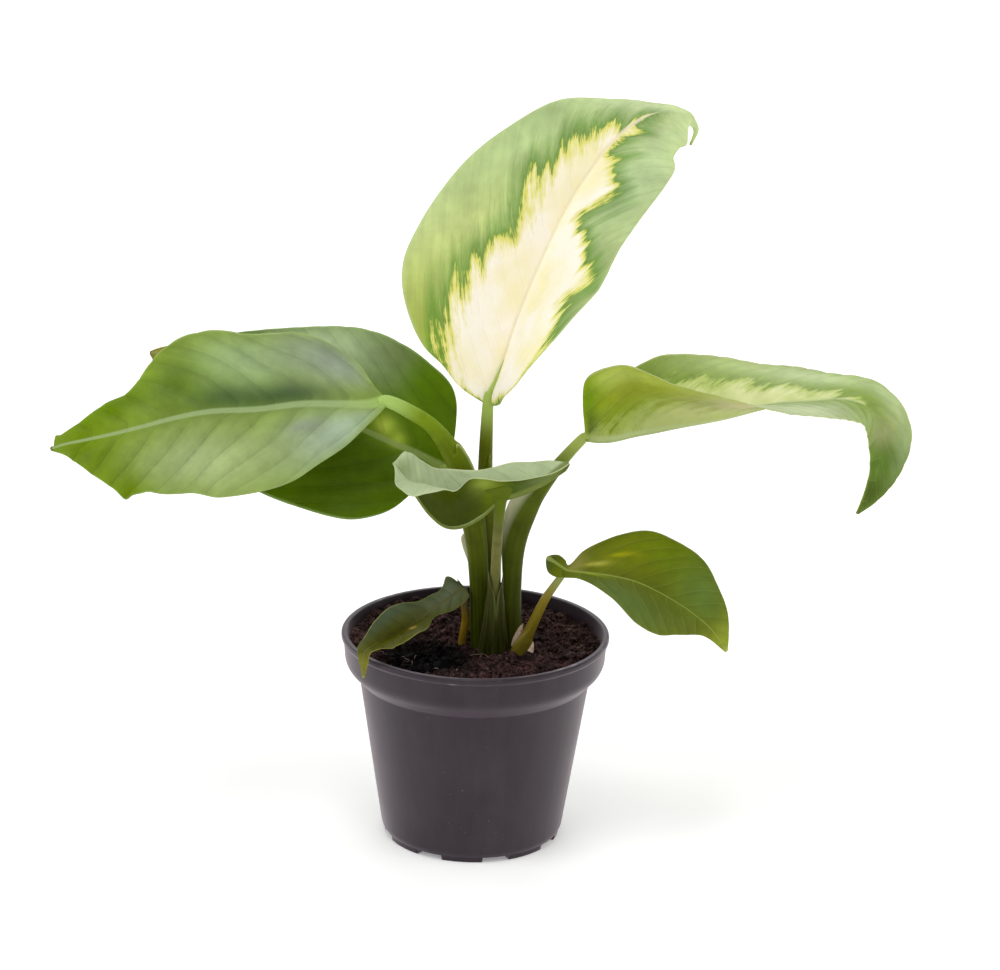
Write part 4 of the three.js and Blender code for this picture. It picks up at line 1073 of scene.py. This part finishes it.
def pot_profile(lip_radius, height):
    """Half of the pot's section, from the axis below to the axis inside, and each corner's curve."""
    lip_z = height - LIP_HEIGHT
    band_top = lip_radius - LIP_OVERHANG
    inside = FOOT_HEIGHT + FLOOR_THICKNESS
    corners = [
        (0, 0, 0), (PAD_RADIUS, 0, 0.2), (PAD_RADIUS + FOOT_HEIGHT / 2, FOOT_HEIGHT, 0.4),
        (FOOT_INNER_RADIUS - FOOT_HEIGHT / 4, FOOT_HEIGHT, 0.2), (FOOT_INNER_RADIUS, 0, 0.2),
        (FOOT_OUTER_RADIUS, 0, 0.3), (FOOT_OUTER_RADIUS + 0.3, FOOT_HEIGHT, 0.3), (*WALL_FOOT, 1.2),
        (*WALL_TOP, 0.5), (*BAND_FOOT, 2.6), (band_top, lip_z - LIP_OVERHANG, 0.4), (lip_radius, lip_z, 0.35),
        (lip_radius, height - 0.5, 0.3), (lip_radius - 0.5, height, 0.35),
        (band_top - WALL_THICKNESS, height, 0.5), (BAND_FOOT[0] - WALL_THICKNESS, BAND_FOOT[1], 1.0),
        (WALL_TOP[0] - WALL_THICKNESS, WALL_TOP[1], 1.0), (WALL_FOOT[0] - WALL_THICKNESS, inside, 0.8),
        (0, inside, 0),
    ]
    return rounded([c[:2] for c in corners], [c[2] for c in corners])


def foot_angles(sides):
    """Angles round the pot, with a close pair at each side of every gap between the feet."""
    angles = {round(360 * i / sides, 4) for i in range(sides)}
    gaps = []
    for i in range(FOOT_COUNT):
        middle = FOOT_TURN + 360 * i / FOOT_COUNT
        low, high = middle - FOOT_GAP_ANGLE / 2, middle + FOOT_GAP_ANGLE / 2
        gaps.append((low, high))
        for edge in (low, high):
            angles = {a for a in angles if abs((a - edge + 180) % 360 - 180) > 0.5}
            angles |= {round((edge + step) % 360, 4) for step in (-FOOT_EDGE_ANGLE, FOOT_EDGE_ANGLE)}
    ordered = sorted(angles)
    in_gap = [any((a - low) % 360 < high - low for low, high in gaps) for a in ordered]
    return ordered, in_gap


def build_pot(settings):
    """The nursery pot as one turned and cut body, with its feet and drain holes."""
    profile = pot_profile(settings.lip_radius / MM, settings.height / MM)
    angles, in_gap = foot_angles(settings.sides)
    vertices = []
    for radius, z in profile[1:-1]:
        is_foot = FOOT_INNER_RADIUS - 1 < radius < WALL_FOOT[0] and z < FOOT_HEIGHT
        for angle, gap in zip(angles, in_gap):
            a = math.radians(angle)
            height = FOOT_HEIGHT if is_foot and gap else z
            vertices.append((radius * math.cos(a), radius * math.sin(a), height))
    vertices += [(0, 0, profile[0][1]), (0, 0, profile[-1][1])]
    faces = flipped(turned_faces(len(profile) - 2, len(angles)))
    pot = make_object("nursery_pot", vertices, faces, pot_material(settings.colour))
    cut_drains(pot)
    return pot


def cut_drains(pot):
    """Cuts the drain holes through the pot's floor."""
    cutter = bmesh.new()
    for spot in circle(DRAIN_RING_RADIUS * MM, 0, DRAIN_COUNT):
        bmesh.ops.create_cone(
            cutter, cap_ends=True, segments=DRAIN_SIDES, radius1=DRAIN_RADIUS * MM,
            radius2=DRAIN_RADIUS * MM, depth=DRAIN_CUT_DEPTH * MM, matrix=Matrix.Translation(spot))
    mesh = bpy.data.meshes.new("drain_cutter")
    cutter.to_mesh(mesh)
    cutter.free()
    tool = in_scene("drain_cutter", mesh)
    cut = pot.modifiers.new("drains", "BOOLEAN")
    cut.operation, cut.object, cut.solver = "DIFFERENCE", tool, "EXACT"
    bpy.context.view_layer.update()
    shape = pot.evaluated_get(bpy.context.evaluated_depsgraph_get())
    finished = bpy.data.meshes.new_from_object(shape)
    pot.modifiers.clear()
    pot.data = finished
    bpy.data.objects.remove(tool)


def soil_height(x, y):
    """Height of the soil's surface in millimetres: the solids' lumps and finer ones on them."""
    lump = (0.7 * math.sin(0.31 * x + 0.9) * math.cos(0.27 * y) + 0.45 * math.sin(0.53 * y - 0.4 * x)
            + 0.3 * math.cos(0.83 * x + 0.71 * y))
    fine = 1.1 * noise.noise(Vector((x * 0.2, y * 0.2, 2.0)))
    fine += 1.3 * noise.noise(Vector((x * 0.5, y * 0.5, 9.0)))
    fine += 0.7 * noise.noise(Vector((x * 1.2, y * 1.2, 4.0)))
    hollow = HOLLOW_DEPTH * math.exp(-((x - HOLLOW_PLACE[0]) ** 2 + (y - HOLLOW_PLACE[1]) ** 2)
                                     / HOLLOW_REACH ** 2)
    return SOIL_TOP - SOIL_LOW_TO_THE_RIGHT * x + lump + fine - hollow


def build_soil():
    """The soil: sides that follow the pot's wall, a flat underside and a crumbly top."""
    inset = WALL_THICKNESS + SOIL_GAP
    floor = FOOT_HEIGHT + FLOOR_THICKNESS + SOIL_GAP
    top_radius = BAND_FOOT[0] - inset
    side_rings = [(WALL_FOOT[0] - inset, floor), (WALL_TOP[0] - inset, WALL_TOP[1]),
                  (top_radius, BAND_FOOT[1])]
    vertices = [point for radius, z in side_rings for point in circle(radius, z, SOIL_SIDES)]
    for k in range(SOIL_TOP_RINGS):
        ring = circle(top_radius * (1 - k / SOIL_TOP_RINGS), 0, SOIL_SIDES)
        vertices += [(x, y, soil_height(x, y)) for x, y, _ in ring]
    vertices += [(0, 0, floor), (0, 0, soil_height(0, 0))]
    faces = turned_faces(len(side_rings) + SOIL_TOP_RINGS, SOIL_SIDES)
    return make_object("potting_peat", vertices, faces, peat_material(), smooth=False)


def stalk_spots():
    """Where each stalk comes out of the soil, and its half width there."""
    spots = []
    for leaf in LEAVES.values():
        route = np.array(leaf["route"], float)
        share = (SOIL_TOP - route[0, 2]) / (route[1, 2] - route[0, 2])
        spot = route[0] + share * (route[1] - route[0])
        spots.append((spot[0], spot[1], max(leaf["ovals"][1])))
    return spots


def free_spot(draw, reach, spots, clearance):
    """A random place on the soil that is clear of the stalks."""
    while True:
        radius, turn = reach * math.sqrt(draw.random()), 2 * math.pi * draw.random()
        x, y = radius * math.cos(turn), radius * math.sin(turn)
        if all(math.hypot(x - sx, y - sy) > r + clearance for sx, sy, r in spots):
            return x, y


def build_crumbs(settings):
    """Loose crumbs on the soil: small dented balls, sunk by a third."""
    draw = random.Random(settings.seed)
    ball = bmesh.new()
    bmesh.ops.create_icosphere(ball, subdivisions=2, radius=1)
    points = np.array([v.co[:] for v in ball.verts])
    ball_faces = [tuple(v.index for v in f.verts) for f in ball.faces]
    ball.free()
    spots = stalk_spots()
    size = settings.crumb_size / MM
    vertices, faces = [], []
    for _ in range(settings.crumb_count):
        radius = size * (0.35 + 1.9 * draw.random() ** 3)
        x, y = free_spot(draw, CRUMBS_REACH, spots, radius * 0.4)
        shape = points * np.array([draw.uniform(0.6, 1.4), draw.uniform(0.6, 1.4), draw.uniform(0.5, 1.0)])
        shape = shape * (1 + 0.28 * np.array([draw.uniform(-1, 1) for _ in range(len(points))]))[:, None]
        turn = draw.uniform(0, 2 * math.pi)
        c, s = math.cos(turn), math.sin(turn)
        shape = shape @ np.array([[c, s, 0], [-s, c, 0], [0, 0, 1]]) * radius
        base = len(vertices)
        vertices.extend(shape + np.array([x, y, soil_height(x, y) + 0.25 * radius]))
        faces.extend(tuple(base + i for i in face) for face in ball_faces)
    return make_object("peat_crumbs", vertices, faces, peat_material(), smooth=False)


def build_fibres(settings):
    """Thin fibres that lie about on the soil."""
    draw = random.Random(settings.seed + 1)
    spots = stalk_spots()
    sides, rings = 6, 12
    vertices, faces = [], []
    for _ in range(settings.fibre_count):
        x, y = free_spot(draw, FIBRES_START_WITHIN, spots, 1.5)
        heading, bend = draw.uniform(0, 2 * math.pi), draw.uniform(-0.25, 0.25)
        length, radius = draw.uniform(3, 12), draw.uniform(0.08, 0.2)
        faces += tube_faces(rings, sides, len(vertices))
        for k in range(rings):
            heading += bend
            x += math.cos(heading) * length / rings
            y += math.sin(heading) * length / rings
            inwards = min(1, FIBRES_REACH / math.hypot(x, y))
            x, y = x * inwards, y * inwards
            centre = Vector((x, y, soil_height(x, y) + 0.35 + 0.5 * math.sin(math.pi * k / rings)))
            out = Vector((-math.sin(heading), math.cos(heading), 0))
            thin = radius * (1 - 0.7 * abs(2 * k / (rings - 1) - 1) ** 3)
            vertices += [tuple(centre + out * level + Vector((0, 0, rise)))
                         for level, rise, _ in circle(thin, 0, sides)]
    return make_object("peat_fibres", vertices, faces, dry_material("dry_root_fibre", "5a4636", "a58f78", 3))


def build_bract(name, centres, ovals):
    """A dead scale left at a stalk's foot: a thin pointed shell, wide below, that leans outwards."""
    rings, sides = 16, 20
    places = np.linspace(0, 1, rings)
    centre, oval = along(centres, places), along(ovals, places)
    side, front = section_ways(ahead_along(centres, places, 0.02))
    turns = np.arange(sides) * 2 * np.pi / sides
    out = oval[:, 0:1] * np.cos(turns)
    forward = oval[:, 1:2] * np.sin(turns) + 0.4 * out * np.cos(turns)
    ring = centre[:, None] + side[:, None] * out[..., None] - front[:, None] * forward[..., None]
    material = dry_material(name, "b08c66", "e6cfba", 1.2)
    return make_object(name, ring.reshape(-1, 3), tube_faces(rings, sides), material)


class DIEFFENBACHIA_OT_pot(bpy.types.Operator):
    """Build the nursery pot"""
    bl_idname = "dieffenbachia.pot"
    bl_label = "Pot"

    def execute(self, context):
        put_on(build_pot(context.scene.dieffenbachia_pot), "pot")
        return {"FINISHED"}


class DIEFFENBACHIA_OT_soil(bpy.types.Operator):
    """Build the potting soil with its crumbs and fibres"""
    bl_idname = "dieffenbachia.soil"
    bl_label = "Soil"

    def execute(self, context):
        settings = context.scene.dieffenbachia_soil
        put_on(build_soil(), "potting_soil")
        put_on(build_crumbs(settings), None)
        put_on(build_fibres(settings), None)
        return {"FINISHED"}


class DIEFFENBACHIA_OT_stalks(bpy.types.Operator):
    """Build the stalks with their sheaths"""
    bl_idname = "dieffenbachia.stalks"
    bl_label = "Stalks"

    def execute(self, context):
        for name, leaf in LEAVES.items():
            put_on(build_stalk(name, leaf), f"{name}_stalk")
            if leaf["sheath"]:
                put_on(build_sheath(name, leaf), None)
        for name, (centres, ovals) in BRACTS.items():
            put_on(build_bract(name, centres, ovals), None)
        return {"FINISHED"}


class DIEFFENBACHIA_OT_blades(bpy.types.Operator):
    """Build the leaf blades"""
    bl_idname = "dieffenbachia.blades"
    bl_label = "Leaf blades"

    def execute(self, context):
        settings = context.scene.dieffenbachia_leaves
        for name, leaf in LEAVES.items():
            blade = build_blade(name, leaf, settings.steps, settings.across, settings.gloss)
            put_on(blade, f"{name}_blade")
        return {"FINISHED"}


def add_lamp(name, place, aim, size, power):
    """A square soft box that looks at a point."""
    data = bpy.data.lights.new(name, "AREA")
    data.shape = "SQUARE"
    data.size, data.energy = size, power
    lamp = in_scene(name, data)
    lamp.location = place
    lamp.rotation_euler = (Vector(aim) - Vector(place)).to_track_quat("-Z", "Y").to_euler()


def add_camera():
    """The camera, at the photograph's distance, height, roll and lens."""
    pitch, roll = math.radians(CAMERA_PITCH), math.radians(CAMERA_ROLL)
    back = Vector((0, -math.cos(pitch), math.sin(pitch)))
    level, upright = Vector((1, 0, 0)), Vector((0, math.sin(pitch), math.cos(pitch)))
    right = math.cos(roll) * level + math.sin(roll) * upright
    up = math.cos(roll) * upright - math.sin(roll) * level
    data = bpy.data.cameras.new("camera")
    data.lens, data.sensor_width = CAMERA_LENS, SENSOR_WIDTH
    camera = in_scene("camera", data)
    camera.matrix_world = Matrix((right, up, back)).transposed().to_4x4()
    camera.location = Vector(CAMERA_AIM) * MM + back * CAMERA_DISTANCE * MM
    bpy.context.scene.camera = camera


class DIEFFENBACHIA_OT_stage(bpy.types.Operator):
    """Lay out the floor, the soft lights and the camera"""
    bl_idname = "dieffenbachia.stage"
    bl_label = "Stage"

    def execute(self, context):
        settings = context.scene.dieffenbachia_stage
        rim = circle(settings.floor_radius / MM, 0, FLOOR_SIDES)
        floor = make_object("floor", rim, [tuple(range(FLOOR_SIDES))], floor_material())
        for name, (place, aim, size, power) in LAMPS.items():
            add_lamp(name, place, aim, size, power * settings.light)
        world = bpy.data.worlds.new("studio")
        world.use_nodes = True
        link(world.node_tree, world.node_tree.nodes["Background"],
             {"Color": linear("ffffff"), "Strength": 0.55})
        context.scene.world = world
        context.scene.view_settings.view_transform = "Standard"
        add_camera()
        return {"FINISHED"}


class DIEFFENBACHIA_PT_panel(bpy.types.Panel):
    """The plant's settings and pieces"""
    bl_idname = "DIEFFENBACHIA_PT_panel"
    bl_label = "Potted Dieffenbachia"
    bl_space_type = "VIEW_3D"
    bl_region_type = "UI"
    bl_category = "Dieffenbachia"

    def draw(self, context):
        for group, operators in PANEL_ROWS:
            box = self.layout.box()
            settings = getattr(context.scene, group)
            for key in type(settings).__annotations__:
                box.prop(settings, key)
            for operator in operators:
                box.operator(operator)


PANEL_ROWS = (
    ("dieffenbachia_pot", ("dieffenbachia.pot",)),
    ("dieffenbachia_soil", ("dieffenbachia.soil",)),
    ("dieffenbachia_leaves", ("dieffenbachia.stalks", "dieffenbachia.blades")),
    ("dieffenbachia_stage", ("dieffenbachia.stage",)),
)
SETTINGS = {
    "dieffenbachia_pot": PotSettings,
    "dieffenbachia_soil": SoilSettings,
    "dieffenbachia_leaves": LeafSettings,
    "dieffenbachia_stage": StageSettings,
}
OPERATORS = (DIEFFENBACHIA_OT_pot, DIEFFENBACHIA_OT_soil, DIEFFENBACHIA_OT_stalks,
             DIEFFENBACHIA_OT_blades, DIEFFENBACHIA_OT_stage)


def register():
    """Registers the settings, the operators and the panel."""
    for cls in (*SETTINGS.values(), *OPERATORS, DIEFFENBACHIA_PT_panel):
        bpy.utils.register_class(cls)
    for key, cls in SETTINGS.items():
        setattr(bpy.types.Scene, key, bpy.props.PointerProperty(type=cls))


def unregister():
    """Takes the panel, the operators and the settings away again."""
    for key in SETTINGS:
        delattr(bpy.types.Scene, key)
    for cls in (DIEFFENBACHIA_PT_panel, *reversed(OPERATORS), *reversed(SETTINGS.values())):
        bpy.utils.unregister_class(cls)


def main():
    """Builds the whole scene."""
    register()
    bpy.ops.dieffenbachia.stage()
    bpy.ops.dieffenbachia.pot()
    bpy.ops.dieffenbachia.soil()
    bpy.ops.dieffenbachia.stalks()
    bpy.ops.dieffenbachia.blades()


if __name__ == "__main__":
    main()
